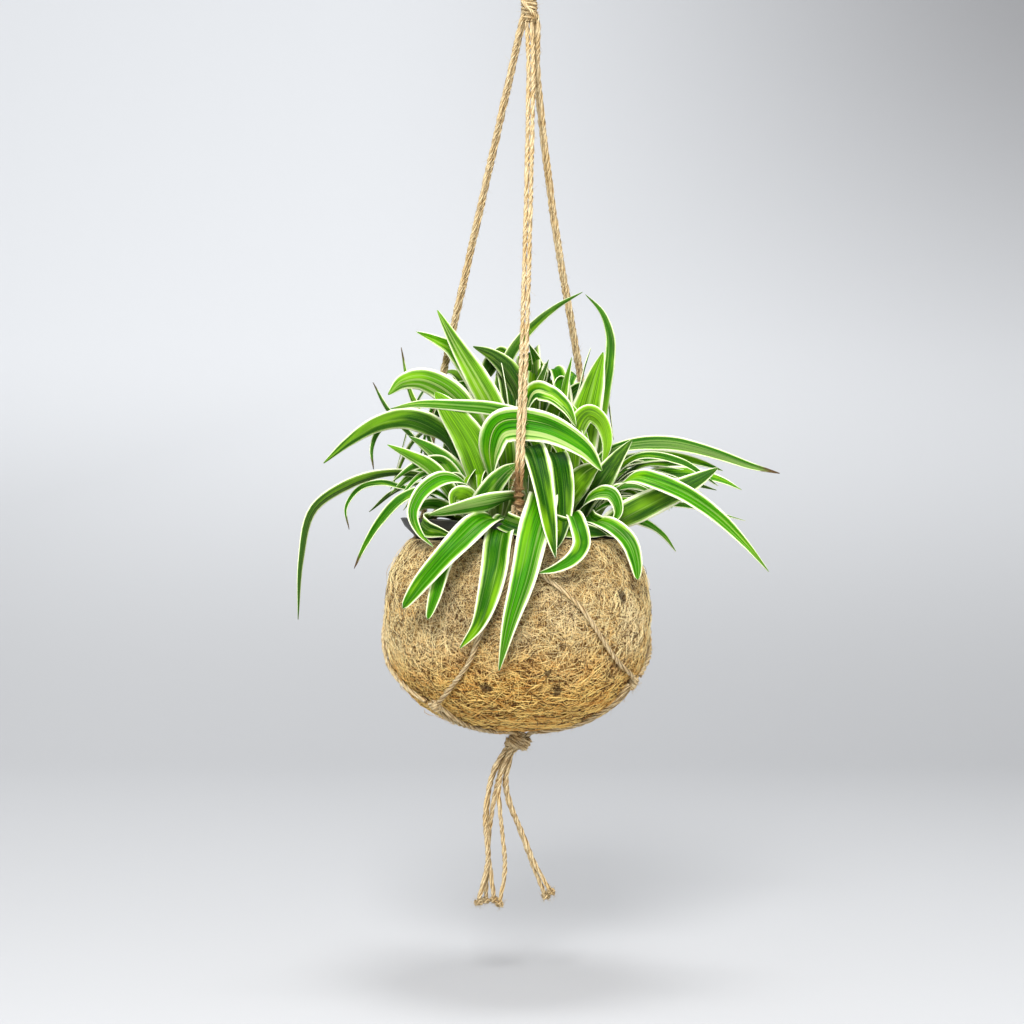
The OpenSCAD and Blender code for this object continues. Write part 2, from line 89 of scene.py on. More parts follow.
def smoothPath(points, count):
    p = np.array(points, float)
    q = np.vstack([2 * p[0] - p[1], p, 2 * p[-1] - p[-2]])
    u = np.linspace(0, len(p) - 1, count + 1)
    k = np.minimum(u.astype(int), len(p) - 2)
    f = (u - k)[:, None]
    a, b, c, d = q[k], q[k + 1], q[k + 2], q[k + 3]
    return (2 * b + (c - a) * f + (2 * a - 5 * b + 4 * c - d) * f**2 + (3 * b - a - 3 * c + d) * f**3) / 2


def lengthsAlong(path):
    return np.concatenate([[0], np.cumsum(np.linalg.norm(np.diff(path, axis=0), axis=1))])


def readAt(t, knownAt, rows):     # rows of x, y and z read between their known places
    return np.stack([np.interp(t, knownAt, rows[:, i]) for i in range(3)], 1)


def evenPath(points, step):     # the same curve, its points an equal step apart
    fine = smoothPath(points, 40 * (len(points) - 1))
    run = lengthsAlong(fine)
    return readAt(np.linspace(0, run[-1], max(3, int(round(run[-1] / step))) + 1), run, fine)


def directionsAlong(path):
    return unit(np.vstack([path[1:], path[-1:]]) - np.vstack([path[:1], path[:-1]]))


def carriedSides(directions, side):     # a side direction that follows the path without twisting
    sides = []
    for d in directions:
        side = unit(side - (side @ d) * d)
        sides.append(side)
    return np.array(sides)


def atRim(points):     # points in millimetres about the rim's centre, as metres about the loop
    return np.array(points, float) * mm + rimPlace


def link(obj):
    bpy.context.scene.collection.objects.link(obj)
    return obj


def meshFrom(name, verts, faces):
    mesh = bpy.data.meshes.new(name)
    mesh.from_pydata(verts.tolist(), [], faces)
    mesh.polygons.foreach_set("use_smooth", [True] * len(mesh.polygons))
    return link(bpy.data.objects.new(name, mesh))


# many thin three-sided strands as one mesh, from their centres and two directions across them
def strandMesh(name, centre, side, other, thick, angles, tone, reverse=False):
    count, rings = centre.shape[:2]
    corners = [centre + thick * (side * math.cos(a) + other * math.sin(a)) for a in angles]
    first = np.arange(count) * rings * 3
    last = first + (rings - 1) * 3
    i, j = np.meshgrid(np.arange(rings - 1), np.arange(3), indexing="ij")
    a, b = i * 3 + j, i * 3 + (j + 1) % 3
    walls = first[:, None, None] + np.stack([a, b, b + 3, a + 3], -1).reshape(1, -1, 4)
    ends = [np.stack([first, first + 2, first + 1], 1), np.stack([last, last + 1, last + 2], 1)]
    faces = []
    for rows in [walls.reshape(-1, 4)] + ends:
        faces += (np.roll(rows[:, ::-1], 1, axis=1) if reverse else rows).tolist()
    strands = meshFrom(name, np.stack(corners, 2).reshape(-1, 3), faces)
    along = np.tile(np.repeat(np.linspace(0, 1, rings), 3), count)
    mapPoints(strands.data, "along", np.stack([np.repeat(tone, rings * 3), along], 1))
    return strands


def join(objs, name):
    deselectAll()
    for o in objs:
        o.select_set(True)
    bpy.context.view_layer.objects.active = objs[0]
    if len(objs) > 1:
        bpy.ops.object.join()
    obj = bpy.context.view_layer.objects.active
    obj.name = name
    obj.data.name = name
    return obj


def applyModifiers(obj):
    pick(obj)
    for m in list(obj.modifiers):
        bpy.ops.object.modifier_apply(modifier=m.name)


def wear(obj, material):
    obj.data.materials.clear()
    obj.data.materials.append(material)


def settle(obj, node):     # the piece takes its body and hides the CAD node it stands for
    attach(obj, "root")
    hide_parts(node)
    return obj


def linear(r, g, b):     # a screen colour from 0 to 255 as linear values
    return tuple(((c / 255 + 0.055) / 1.055) ** 2.4 if c > 10 else c / 255 / 12.92 for c in (r, g, b)) + (1,)


def newNode(tree, kind, inputs=None, **settings):     # an input is a constant, or a socket to link from
    n = tree.nodes.new(kind)
    for key, value in settings.items():
        setattr(n, key, value)
    for key, value in (inputs or {}).items():
        if isinstance(value, bpy.types.NodeSocket):
            tree.links.new(value, n.inputs[key])
        else:
            n.inputs[key].default_value = value
    return n


def mathNode(tree, operation, *values):
    return newNode(tree, "ShaderNodeMath", dict(enumerate(values)), operation=operation).outputs[0]


def plus(tree, a, b):
    return mathNode(tree, "ADD", a, b)


def times(tree, a, b):
    return mathNode(tree, "MULTIPLY", a, b)


def mixColor(tree, factor, a, b):     # a colour is a socket, or a screen colour from 0 to 255
    a, b = (linear(*v) if isinstance(v, tuple) else v for v in (a, b))
    return newNode(tree, "ShaderNodeMix", {0: factor, 6: a, 7: b}, data_type="RGBA").outputs[2]


def layered(tree, color, *layers):     # further colours over the first, each as strong as its mask
    for mask, over in layers:
        color = mixColor(tree, mask, color, over)
    return color


def spread(tree, value, low, high, toLow=0.0, toHigh=1.0):     # a soft step between two values
    ends = dict(enumerate((value, low, high, toLow, toHigh)))
    return newNode(tree, "ShaderNodeMapRange", ends, interpolation_type="SMOOTHSTEP").outputs[0]


def noiseNode(tree, vector, scale, detail=3.0, rough=0.55):
    inputs = {"Vector": vector, "Scale": scale, "Detail": detail, "Roughness": rough}
    return newNode(tree, "ShaderNodeTexNoise", inputs).outputs[0]


def objectPlace(tree):
    return newNode(tree, "ShaderNodeTexCoord").outputs["Object"]


def readMap(tree, name):
    return newNode(tree, "ShaderNodeUVMap", uv_map=name).outputs[0]


def split(tree, vector):
    return newNode(tree, "ShaderNodeSeparateXYZ", {0: vector}).outputs


def combine(tree, *parts):
    return newNode(tree, "ShaderNodeCombineXYZ", dict(enumerate(parts))).outputs[0]


def stretch(tree, where, alongScale, turned=(0, 0, 0)):     # coordinates drawn out along one direction
    inputs = {"Vector": where, "Rotation": turned, "Scale": (1, 1, alongScale)}
    return newNode(tree, "ShaderNodeMapping", inputs).outputs[0]


def distanceTo(tree, where, place):
    return newNode(tree, "ShaderNodeVectorMath", {0: where, 1: place}, operation="DISTANCE").outputs["Value"]


def newGroup(name, outputs):     # a node group and the node that takes its outputs
    group = bpy.data.node_groups.new(name, "ShaderNodeTree")
    for label, kind in outputs.items():
        group.interface.new_socket(label, in_out="OUTPUT", socket_type="NodeSocket" + kind)
    return group, group.nodes.new("NodeGroupOutput")


def newMaterial(name, roughness, specular):
    mat = bpy.data.materials.new(name)
    mat.use_nodes = True
    shader = mat.node_tree.nodes["Principled BSDF"]
    shader.inputs["Roughness"].default_value = roughness
    shader.inputs["Specular IOR Level"].default_value = specular
    return mat, mat.node_tree, shader


def paint(tree, shader, color, height, strength, distance):     # colour and bump go into the shader
    tree.links.new(color, shader.inputs["Base Color"])
    n = newNode(tree, "ShaderNodeBump", {"Height": height, "Strength": strength, "Distance": distance})
    tree.links.new(n.outputs[0], shader.inputs["Normal"])


view = {"place": (-0.0117, -1.641, -0.396), "lens": 85, "sensor": 36}
bpy.ops.object.camera_add(location=view["place"], rotation=(math.pi / 2, 0, 0))
camera = bpy.context.object
camera.data.lens = view["lens"]
camera.data.sensor_width = view["sensor"]
bpy.context.scene.camera = camera
bpy.context.scene.view_settings.view_transform = "Standard"

# The paper's colours hold painted light: darker on the floor, lighter up the wall, and a painted shade in the
# upper right corner.
studio = {"floor": -0.715, "near": -4.0, "back": 2.6, "wide": 6.0, "tall": 4.0, "bend": 1.2, "bendSteps": 16,
          "paperShadedFloor": (186, 187, 189), "paperLitWall": (233, 235, 238), "paperCornerShade": (158, 158, 160),
          "air": (0.98, 0.99, 1, 1), "airStrength": 0.66, "lampAim": (0, 0, -0.42)}
# lamp, place, size and power
lamps = [("key_light", (-0.2, -1.9, 0.75), 0.7, 54), ("fill_light", (1.6, -1.7, 0.0), 1.6, 14),
         ("top_light", (0.05, -0.02, 1.5), 0.6, 20), ("back_light", (-0.9, 1.5, 0.6), 1.2, 6)]


def makeBackdrop():
    s = studio
    start = s["back"] - s["bend"]
    profile = [(s["near"], s["floor"]), (start, s["floor"])]
    for i in range(1, s["bendSteps"] + 1):
        a = math.pi / 2 * i / s["bendSteps"]
        profile.append((start + s["bend"] * math.sin(a), s["floor"] + s["bend"] * (1 - math.cos(a))))
    profile.append((s["back"], s["floor"] + s["tall"]))
    verts = [(side * s["wide"], y, z) for y, z in profile for side in (-1, 1)]
    faces = [(2 * i, 2 * i + 1, 2 * i + 3, 2 * i + 2) for i in range(len(profile) - 1)]
    sweep = meshFrom("studio_sweep", np.array(verts), faces)
    mat, tree, shader = newMaterial("studioPaper", 0.9, 0.2)
    x, y, z = split(tree, objectPlace(tree))
    # painted shade: the paper is darker low on the floor and lighter up the wall
    paper = mixColor(tree, spread(tree, z, -0.71, -0.1), s["paperShadedFloor"], s["paperLitWall"])
    # painted shade darkens the wall's upper right corner
    cornerShade = times(tree, spread(tree, x, -0.35, 1.1), spread(tree, z, -0.7, 0.7))
    tree.links.new(mixColor(tree, cornerShade, paper, s["paperCornerShade"]), shader.inputs["Base Color"])
    wear(sweep, mat)


def makeLights():
    for name, place, size, power in lamps:
        bpy.ops.object.light_add(type="AREA", location=place)
        lamp = bpy.context.object
        lamp.name = name
        lamp.data.size = size
        lamp.data.energy = power
        x, y, z = np.array(studio["lampAim"]) - np.array(place)
        lamp.rotation_euler = (math.atan2(math.hypot(x, y), -z), 0, math.atan2(y, x) - math.pi / 2)
    world = bpy.data.worlds.new("studioAir")
    world.use_nodes = True
    air = world.node_tree.nodes["Background"]
    air.inputs[0].default_value = studio["air"]
    air.inputs[1].default_value = studio["airStrength"]
    bpy.context.scene.world = world


makeBackdrop()
makeLights()
print("camera, lights and backdrop made")

twine = {"radius": 1.62 * mm, "plies": 3, "sidesPerPly": 6, "plyOut": 0.52, "plyRadius": 0.48,
         "pitch": 21 * mm, "step": 0.8 * mm, "fuzzPerMetre": 1500, "fuzzLength": 5 * mm,
         "fuzzRadius": 0.09 * mm, "seed": 11}
twineFuzz = np.random.default_rng(twine["seed"])


def makePlyOutline():     # the outline of three plies laid together, one unit in radius
    outline = bpy.data.curves.new("plyOutline", "CURVE")
    outline.dimensions = "2D"
    spline = outline.splines.new("POLY")
    sides = twine["plies"] * twine["sidesPerPly"]
    spline.points.add(sides - 1)
    spline.use_cyclic_u = True
    plyAngle = 2 * math.pi / twine["plies"]
    for i, point in enumerate(spline.points):
        a = 2 * math.pi * i / sides
        inPly = (a + plyAngle / 12) % plyAngle - plyAngle / 2
        out = twine["plyOut"]
        r = out * math.cos(inPly) + math.sqrt(twine["plyRadius"]**2 - (out * math.sin(inPly)) ** 2)
        point.co = (r * math.cos(a), r * math.sin(a), 0, 1)
    return link(bpy.data.objects.new("plyOutline", outline))


plyOutline = makePlyOutline()


def hairMesh(name, base, way, curl, length, radius, rings, bend):     # hairs that stand out and curl over
    t = np.linspace(0, 1, rings)[None, :, None]
    centre = base[:, None] + length[:, None] * (way[:, None] * t + curl[:, None] * bend * t**2)
    ahead = unit(np.gradient(centre, axis=1))
    ref = np.where(np.abs(ahead[..., 2:3]) > 0.8, np.array([1.0, 0, 0]), np.array([0, 0, 1.0]))
    side = unit(np.cross(ahead, ref))
    thick = np.reshape(radius, (-1, 1, 1)) * (1 - 0.6 * t)
    angles = [2 * math.pi * k / 3 for k in range(3)]
    tone = np.linspace(0, 1, len(base)) * 7 % 1
    return strandMesh(name, centre, side, np.cross(ahead, side), thick, angles, tone)


def fuzzMesh(name, path, radius, count):     # loose hairs that stand off the twine
    ahead = directionsAlong(path)
    side = carriedSides(ahead, np.array([1.0, 0, 0]) if abs(ahead[0][2]) > 0.8 else np.array([0, 0, 1.0]))
    other = np.cross(ahead, side)
    rng = twineFuzz
    at = rng.integers(2, len(path) - 2, count)
    a = rng.uniform(0, 2 * math.pi, count)
    out = side[at] * np.cos(a)[:, None] + other[at] * np.sin(a)[:, None]
    around = np.cross(ahead[at], out)
    lean = rng.choice([-1.0, 1.0], count)[:, None] * rng.uniform(0.5, 1.4, (count, 1))
    length = twine["fuzzLength"] * rng.uniform(0.3, 1.0, (count, 1)) ** 1.5
    base = path[at] + out * radius * 0.75
    way = out * rng.uniform(0.15, 0.7, (count, 1)) + ahead[at] * lean
    way = way + around * rng.uniform(-0.4, 0.4, (count, 1))
    curl = around * rng.uniform(-1, 1, (count, 1)) + out * rng.uniform(-0.8, 0.5, (count, 1))
    return hairMesh(name, base, unit(way), unit(curl), length, twine["fuzzRadius"], 4, 0.4)


def twineAlong(name, path, radius=twine["radius"], fuzz=1.0, turn=0.0):
    path = evenPath(path, twine["step"])
    run = lengthsAlong(path)
    curve = bpy.data.curves.new(name, "CURVE")
    curve.dimensions = "3D"
    curve.bevel_mode = "OBJECT"
    curve.bevel_object = plyOutline
    curve.use_fill_caps = True
    spline = curve.splines.new("POLY")
    spline.points.add(len(path) - 1)
    spline.points.foreach_set("co", np.column_stack([path, np.ones(len(path))]).ravel())
    worn = 1 + 0.07 * np.sin(run / (7.3 * mm) + turn)
    worn = worn + 0.08 * np.sin(run / (2.1 * mm) + 1) * np.sin(run / (17 * mm))
    spline.points.foreach_set("radius", radius * worn)
    tilt = turn + 2 * math.pi * run / twine["pitch"] + 0.9 * np.sin(run / (11 * mm) + 2 * turn)
    spline.points.foreach_set("tilt", tilt + 0.5 * np.sin(run / (4.3 * mm)))
    obj = link(bpy.data.objects.new(name, curve))
    pick(obj)
    bpy.ops.object.convert(target="MESH")
    editWhole((bpy.ops.mesh.remove_doubles, {"threshold": 0.00001}), faceOutward)
    bpy.ops.object.shade_smooth()
    layer = obj.data.uv_layers[0]
    layer.name = "along"
    uv = np.zeros(len(obj.data.loops) * 2, np.float32)
    layer.data.foreach_get("uv", uv)
    inCentimetres = np.array([run[-1] * 100, 1], np.float32)
    layer.data.foreach_set("uv", uv * np.tile(inCentimetres, len(uv) // 2))
    hairs = int(run[-1] * twine["fuzzPerMetre"] * fuzz)
    if hairs:
        obj = join([obj, fuzzMesh(name + "_fuzz", path, radius, hairs)], name)
    return obj


knots = {"upperTurns": 3.2, "upperRadius": 2.35, "upperTwine": 1.25 * mm, "topTurns": 6, "topRadius": 4.5,
         "topTwine": 1.5 * mm, "stepsPerTurn": 14, "wisps": 130, "seed": 17, "brownAt": [1, -75, 34]}


def makeJuteMaterial():
    mat, tree, shader = newMaterial("juteTwine", 0.82, 0.25)
    along, around = split(tree, readMap(tree, "along"))[:2]     # along in centimetres, around from 0 to 1
    slope = plus(tree, times(tree, around, 34.0), times(tree, along, 5.0))
    fibres = noiseNode(tree, combine(tree, slope, times(tree, along, 1.6)), 1.6, 4, 0.65)
    dashes = noiseNode(tree, combine(tree, slope, times(tree, along, 3.2)), 0.4, 3, 0.65)
    where = objectPlace(tree)
    patches = noiseNode(tree, where, 90, 3)
    fine = noiseNode(tree, where, 900, 3)
    inPly = mathNode(tree, "FRACT", mathNode(tree, "MULTIPLY_ADD", around, 3.0, -0.083))
    ply = mathNode(tree, "ABSOLUTE", mathNode(tree, "SUBTRACT", inPly, 0.5))
    # painted shade in the grooves between the plies, stronger in patches
    plyGrooveShade = times(tree, spread(tree, ply, 0.3, 0.48), spread(tree, patches, 0.3, 0.6, 0.55, 1))
    nearFray = spread(tree, distanceTo(tree, where, atRim(knots["brownAt"])), 21 * mm, 9 * mm)
    color = mixColor(tree, spread(tree, fibres, 0.34, 0.66), (190, 148, 84), (255, 242, 200))
    color = layered(tree, color, (spread(tree, patches, 0.45, 0.75, 0, 0.5), (214, 170, 92)),
                    (spread(tree, fine, 0.58, 0.8, 0, 0.4), (140, 100, 56)),
                    # the dark brown of the painted groove shade
                    (times(tree, plyGrooveShade, 0.9), (98, 66, 30)),
                    (spread(tree, dashes, 0.55, 0.63, 0, 0.75), (122, 84, 40)),
                    (times(tree, nearFray, spread(tree, fibres, 0.35, 0.6, 0.4, 0.9)), (126, 84, 44)))
    paint(tree, shader, color, plus(tree, fibres, times(tree, fine, 0.5)), 0.9, 0.0007)
    return mat


juteMaterial = makeJuteMaterial()


def settleJute(parts, name, node):
    piece = join(parts, name)
    wear(piece, juteMaterial)
    return settle(piece, node)


# each leg's route, and how far to each side its two twines lie
legs = {
    "front": ([[8.5, -0.5, 359], [8, -1, 350], [9, -10, 313], [7, -33, 218], [4, -57, 118], [1, -73, 42]],
              [1.55, 0, 0]),
    "left": ([[6.5, 0.5, 359], [3, 1, 350], [-12, 8, 285], [-27, 16, 220], [-52, 29, 110], [-64, 35, 42]],
             [1, 1.55, 0]),
    "right": ([[10, 1, 359], [13, 2, 350], [14, 8, 310], [26, 23, 215], [44, 42, 112], [52, 53, 42]],
              [-1, 1.55, 0]),
}
bowl = {"radius": 90, "halfHeight": 76, "middle": -52, "square": 2.4, "wall": 7}


def bowlRadius(z):
    u = np.minimum(np.abs((z - bowl["middle"]) / bowl["halfHeight"]), 1)
    return bowl["radius"] * (1 - u ** bowl["square"]) ** (1 / bowl["square"])


def smoothBowl(bearing, z):     # places on the even bowl in millimetres about the rim, and the way out of it
    r = bowlRadius(z)
    u = (z - bowl["middle"]) / bowl["halfHeight"]
    power = bowl["square"] - 1
    nr = (np.maximum(r, 0.01) / bowl["radius"]) ** power / bowl["radius"]
    nz = np.sign(u) * np.abs(u) ** power / bowl["halfHeight"]
    size = np.hypot(nr, nz)
    b = np.radians(bearing)
    normal = np.stack([nr / size * np.cos(b), nr / size * np.sin(b), nz / size], -1)
    return np.stack([r * np.cos(b), r * np.sin(b), z], -1), normal


def onBowl(bearing, z, lift):
    place, normal = smoothBowl(bearing, z)
    return place + normal * lift


# each net twine runs over the bowl as bearing, height and stand-off
nets = {
    "front": [[[-92.5, 13, 9], [-93, -2, 3], [-94, -25, 0], [-100, -42, 0], [-106, -62, 0], [-111, -78, 0],
               [-124, -96, 0], [-134, -104, 1]],
              [[-88, 13, 9], [-86, -2, 3], [-80, -21, 0], [-72, -31, 0], [-63, -44, 0], [-54, -62, 0],
               [-44, -77, 0], [-30, -87, 0], [-26, -90, 1]]],
    "left": [[[153, 13, 9], [154, -2, 3], [157, -22, 0], [164, -44, 0], [174, -64, 0], [184, -78, 0],
              [193, -88, 0], [204, -97, 0], [216, -104, 1]],
             [[148, 13, 9], [147, -2, 3], [144, -24, 0], [137, -46, 0], [126, -68, 0], [112, -86, 0],
              [105, -95, 1]]],
    "right": [[[43, 13, 9], [42, -2, 3], [38, -22, 0], [28, -42, 0], [14, -62, 0], [0, -76, 0],
               [-12, -86, 0], [-17, -89, 1]],
              [[48, 13, 9], [49, -2, 3], [54, -24, 0], [64, -46, 0], [76, -68, 0], [88, -86, 0],
               [95, -95, 1]]],
}


def makeLegsAndNets():
    for name, (route, off) in legs.items():
        pair = []
        for side in (-1, 1):
            pair.append(twineAlong(name + "_leg", atRim(np.array(route) + side * np.array(off)), turn=side))
        settleJute(pair, name + "_leg", name + "_leg_twines")
    for name, routes in nets.items():
        pair = []
        for k, route in enumerate(routes):
            places = [onBowl(b, z, twine["radius"] / mm + 0.6 + lift) for b, z, lift in route]
            pair.append(twineAlong(name + "_net", atRim(places), turn=k))
        settleJute(pair, name + "_net", name + "_net_twines")


def wrapped(centre, axis, length, radius, turns, lean=0.0, start=0.0):     # a helix of twine wound on a line
    axis = unit(np.array(axis, float))
    ref = np.array([0, 0, 1.0]) if abs(axis[2]) < 0.8 else np.array([1.0, 0, 0])
    u = unit(np.cross(axis, ref))
    v = np.cross(axis, u)
    route = []
    steps = int(turns * knots["stepsPerTurn"])
    for i in range(steps + 1):
        t = i / steps
        a = start + 2 * math.pi * turns * t
        bulge = radius * (0.62 + 0.38 * math.sin(math.pi * t) ** 0.5)
        along = (t - 0.5) * length + lean * math.sin(a)
        route.append(np.array(centre) + axis * along + bulge * (u * math.cos(a) + v * math.sin(a)))
    return atRim(route)


def makeUpperKnots():
    places = {"front": (1, -74), "left": (-64, 36), "right": (52, 53)}
    turns, radius, thick = knots["upperTurns"], knots["upperRadius"], knots["upperTwine"]
    for name, (x, y) in places.items():
        low = np.array([x * 1.035, y * 1.035, 14.5])
        middle = np.array([x * 1.01, y * 1.01, 28])
        high = np.array([x, y, 42.3])
        axis = high - low
        across = unit(np.array([-y, x, 0.0]))
        parts = []
        for k, flip in enumerate((-1, 1)):     # the leg's two twines cross inside the knot
            core = [high + across * 1.5 * flip, middle + [0, 0, 8] + across * 1.1 * flip,
                    middle - across * 0.2 * flip, middle - [0, 0, 8] - across * 1.2 * flip,
                    low - across * 1.9 * flip]
            parts.append(twineAlong("core", atRim(core), 1.2 * mm, turn=k))
        centre = (low + high) / 2
        for winding in (wrapped(centre + axis * 0.06, axis, 13, radius, turns, 0.8),
                        wrapped(centre - axis * 0.2, axis, 7, radius * 0.92, 1.6, 1.2, 2.0)):
            parts.append(twineAlong("wrap", winding, thick, fuzz=3))
        if name == "front":
            parts.append(makeWisps())
        settleJute(parts, name + "_knot", name + "_upper_knot")


def makeWisps():     # brown frayed wisps stand out at the front knot's upper left
    rng = np.random.default_rng(knots["seed"])
    count = knots["wisps"]
    base = [rng.uniform(low, high, count) for low, high in ((-2.5, 1.5), (-77.5, -74), (33, 45))]
    way = [rng.normal(middle, wide, count) for middle, wide in ((-0.9, 0.5), (-0.5, 0.4), (0.1, 0.8))]
    curl = unit(rng.normal(0, 1, (count, 3)))
    length = rng.uniform(2, 6.5, (count, 1)) * mm
    return hairMesh("wisps", atRim(np.stack(base, 1)), unit(np.stack(way, 1)), curl, length, 0.1 * mm, 5, 0.5)


def makeTopKnotAndLoop():
    parts = []
    for row in (-1, 0, 1):
        y = row * 3.1
        loop = [[5, y / 2, 373], [0, y, 384], [-3, y, 396], [-2, y, 406], [3, y, 414.5], [8, y, 417.1],
                [13, y, 414.5], [18, y, 406], [19, y, 396], [16, y, 384], [11, y / 2, 373]]
        parts.append(twineAlong("loop", atRim(loop), turn=row))
    settleJute(parts, "loop", "hanging_loop")
    winding = wrapped([8, 0, 362], [0, 0, 1], 18, knots["topRadius"], knots["topTurns"], 0.5)
    parts = [twineAlong("wrap", winding, knots["topTwine"], fuzz=1.5)]
    for k in range(6):
        a = k * math.pi / 3
        side = np.array([math.cos(a), math.sin(a), 0])
        core = [np.array([8, 0, z]) + side * out for z, out in ((351.5, 2.6), (362, 2.9), (372.5, 2.6))]
        parts.append(twineAlong("core", atRim(core), 1.3 * mm, fuzz=0.5))
    cross = [[12.6, -2, 354], [10, -5.2, 357], [6, -5.4, 361], [3.2, -3, 365]]
    parts.append(twineAlong("cross", atRim(cross), 1.4 * mm))
    settleJute(parts, "knot_top", "top_knot")


def makeLowerKnots():
    for name, bearing, z in (("left", 220, -107), ("right", -22, -93), ("back", 100, -99)):
        top, low = onBowl(bearing, z + 4, 2.7), onBowl(bearing, z - 4, 2.7)
        parts = []
        for start in (0, math.pi):
            winding = wrapped((top + low) / 2, top - low, 8, 2.3, 2.4, 0.8, start)
            parts.append(twineAlong("wrap", winding, 1.3 * mm, fuzz=2))
        settleJute(parts, name + "_lower_knot", "lower_knot_" + name)
    parts = []
    for bearing, z in ((220, -108), (-22, -94.5), (100, -100.5)):
        for side in (-1, 1):
            turns = ((2, z), (4, (z - 120) / 2), (4, -120), (4, -126))
            route = [onBowl(bearing + side * turnBy, height, 1.65) for turnBy, height in turns]
            a = math.radians(bearing + side * 10)
            route.append([2.5 + 9.5 * math.cos(a), 9.5 * math.sin(a), -130])
            route.append([3 + 4 * math.cos(a), 4 * math.sin(a), -132.5])
            parts.append(twineAlong("base", atRim(route), turn=side))
    settleJute(parts, "base_pairs", "base_twines")


def makeBottomKnot():
    parts = []
    lie = unit(np.array([9.5, 0, 11]))     # the knot leans down to the left
    centre = np.array([0.6, 0, -136.6])
    for k in range(4):     # four strands lie side by side through each bend of the knot
        off = (k - 1.5) * 2.5
        band = wrapped(centre + lie * off * 0.9, lie, 4.5, 7.0 - abs(off) * 0.3, 1.45, 1.6, 2.4 + 0.25 * k)
        parts.append(twineAlong("band", band, 1.55 * mm, fuzz=1.5, turn=k))
    across = unit(np.array([12.5, 0, -10.5]))
    for k in range(7):
        a = k * 2 * math.pi / 7
        u = np.array([0, math.cos(a), 0]) * 3.6 + across * 3.4 * math.sin(a)
        core = [u + [3.6, 0, -129.6], u + [-0.5, 0, -136], u * 0.9 + [-5.5, 0, -142.5]]
        parts.append(twineAlong("core", atRim(core), 1.5 * mm, turn=k))
    over = [[-7, -3, -134.5], [-4.5, -7, -137], [1, -8, -139.5], [6, -5, -141]]
    parts.append(twineAlong("over", atRim(over), 1.55 * mm))
    settleJute(parts, "knot_bottom", "bottom_knot")


tails = [
    [[-9.5, -2.5, -144], [-12, -3, -148], [-14.5, -4, -152], [-17, -4, -158], [-19, -4, -165],
     [-20.5, -4, -173], [-21.5, -4, -181], [-22, -4, -189], [-21.5, -4, -197], [-20.8, -4, -205],
     [-20.3, -4, -212], [-20.6, -4, -219], [-22, -4, -227], [-24, -4, -235], [-26, -4, -243]],
    [[-9, 1, -144.5], [-11.5, 1, -149], [-13.5, 0, -154], [-16.5, 0, -160], [-18.5, 0, -167],
     [-19.7, 0, -174], [-20.5, 0, -181], [-20.6, 0, -189], [-20.3, 0, -197], [-20, 0, -205],
     [-19.6, 0, -212], [-19, 0, -219], [-18, 0, -227], [-17, 0, -235], [-16, 0, -242]],
    [[-6.5, 4.2, -144.5], [-9, 4.5, -150], [-11.5, 4.5, -156], [-13, 4.5, -162], [-14.5, 4.5, -169],
     [-16, 4.5, -176], [-17, 4.5, -183], [-18, 4.5, -190], [-19, 4.5, -198], [-19.5, 4.5, -206],
     [-19.8, 4.5, -213], [-20.2, 4.5, -220], [-20.8, 4.5, -228], [-21.2, 4.5, -236], [-21.5, 4.5, -243]],
    [[-6, -4, -145], [-8.5, -5, -151], [-11, -5, -158], [-12.3, -5, -165], [-12.8, -5, -172],
     [-12.3, -5, -179], [-11.6, -5, -186], [-10.8, -5, -193], [-10.1, -5, -200], [-9.4, -5, -207],
     [-8.8, -5, -213], [-8.5, -5, -220], [-9, -5, -228], [-10.3, -5, -236], [-12, -5, -244]],
    [[-3.5, -0.8, -144], [-5, -0.5, -150], [-6.6, 0, -156], [-7.6, 0.3, -163], [-7, 0.6, -170],
     [-5.6, 0.8, -176], [-3.2, 1, -183], [-0.4, 1, -190], [2.6, 1, -197], [5.4, 1, -204], [8, 1, -211],
     [11, 1, -218], [14.4, 1, -224.5], [18, 1, -231], [21.5, 1, -237]],
    [[-4, 2.6, -145], [-6, 4, -151], [-7.8, 4.5, -157], [-8.6, 4.5, -164], [-8, 4.5, -171],
     [-6.4, 4.5, -178], [-4, 4.5, -184.5], [-1, 4.5, -191], [1.8, 4.5, -198], [4.4, 4.5, -205],
     [7, 4.5, -212], [9.4, 4.5, -219], [12.2, 4.5, -226], [15.2, 4.5, -233], [18.4, 4.5, -240.5]],
]


def endKnot(end, k):     # a small overhand knot
    route = []
    for i in range(31):
        a = 2 * math.pi * i / 34 + k
        turn = [math.sin(a) + 2 * math.sin(2 * a), math.cos(a) - 2 * math.cos(2 * a), -1.7 * math.sin(3 * a)]
        route.append(end + 0.72 * mm * np.array(turn))
    return twineAlong("end_knot", route, 1.25 * mm, fuzz=4)


def makeTails():
    endKnots = []
    for k, route in enumerate(tails):
        start = (np.array(route[0]) - route[1]) * 0.6 + route[0] + [1.2, 0, 1.5]     # in the bottom knot
        pts = atRim([start] + route)
        cord = twineAlong("tail_%d" % (k + 1), pts, fuzz=0, turn=k)
        wear(cord, juteMaterial)
        settle(cord, "tail_twine_%d" % (k + 1))
        endKnots.append(endKnot(pts[-1] + unit(pts[-1] - pts[-2]) * 2.2 * mm, k))
    settleJute(endKnots, "end_knots", "tail_knots")


makeLegsAndNets()
makeUpperKnots()
makeTopKnotAndLoop()
makeLowerKnots()
makeBottomKnot()
makeTails()
print("jute hanger made")

coir = {"seed": 5, "around": 168, "levels": 84, "openAt": 0.72, "fibres": 25000, "looseFibres": 2200,
        "pieces": 4, "fibreRadius": 0.14 * mm, "dentBearing": -128, "dentHeight": -42, "dentDepth": 9}


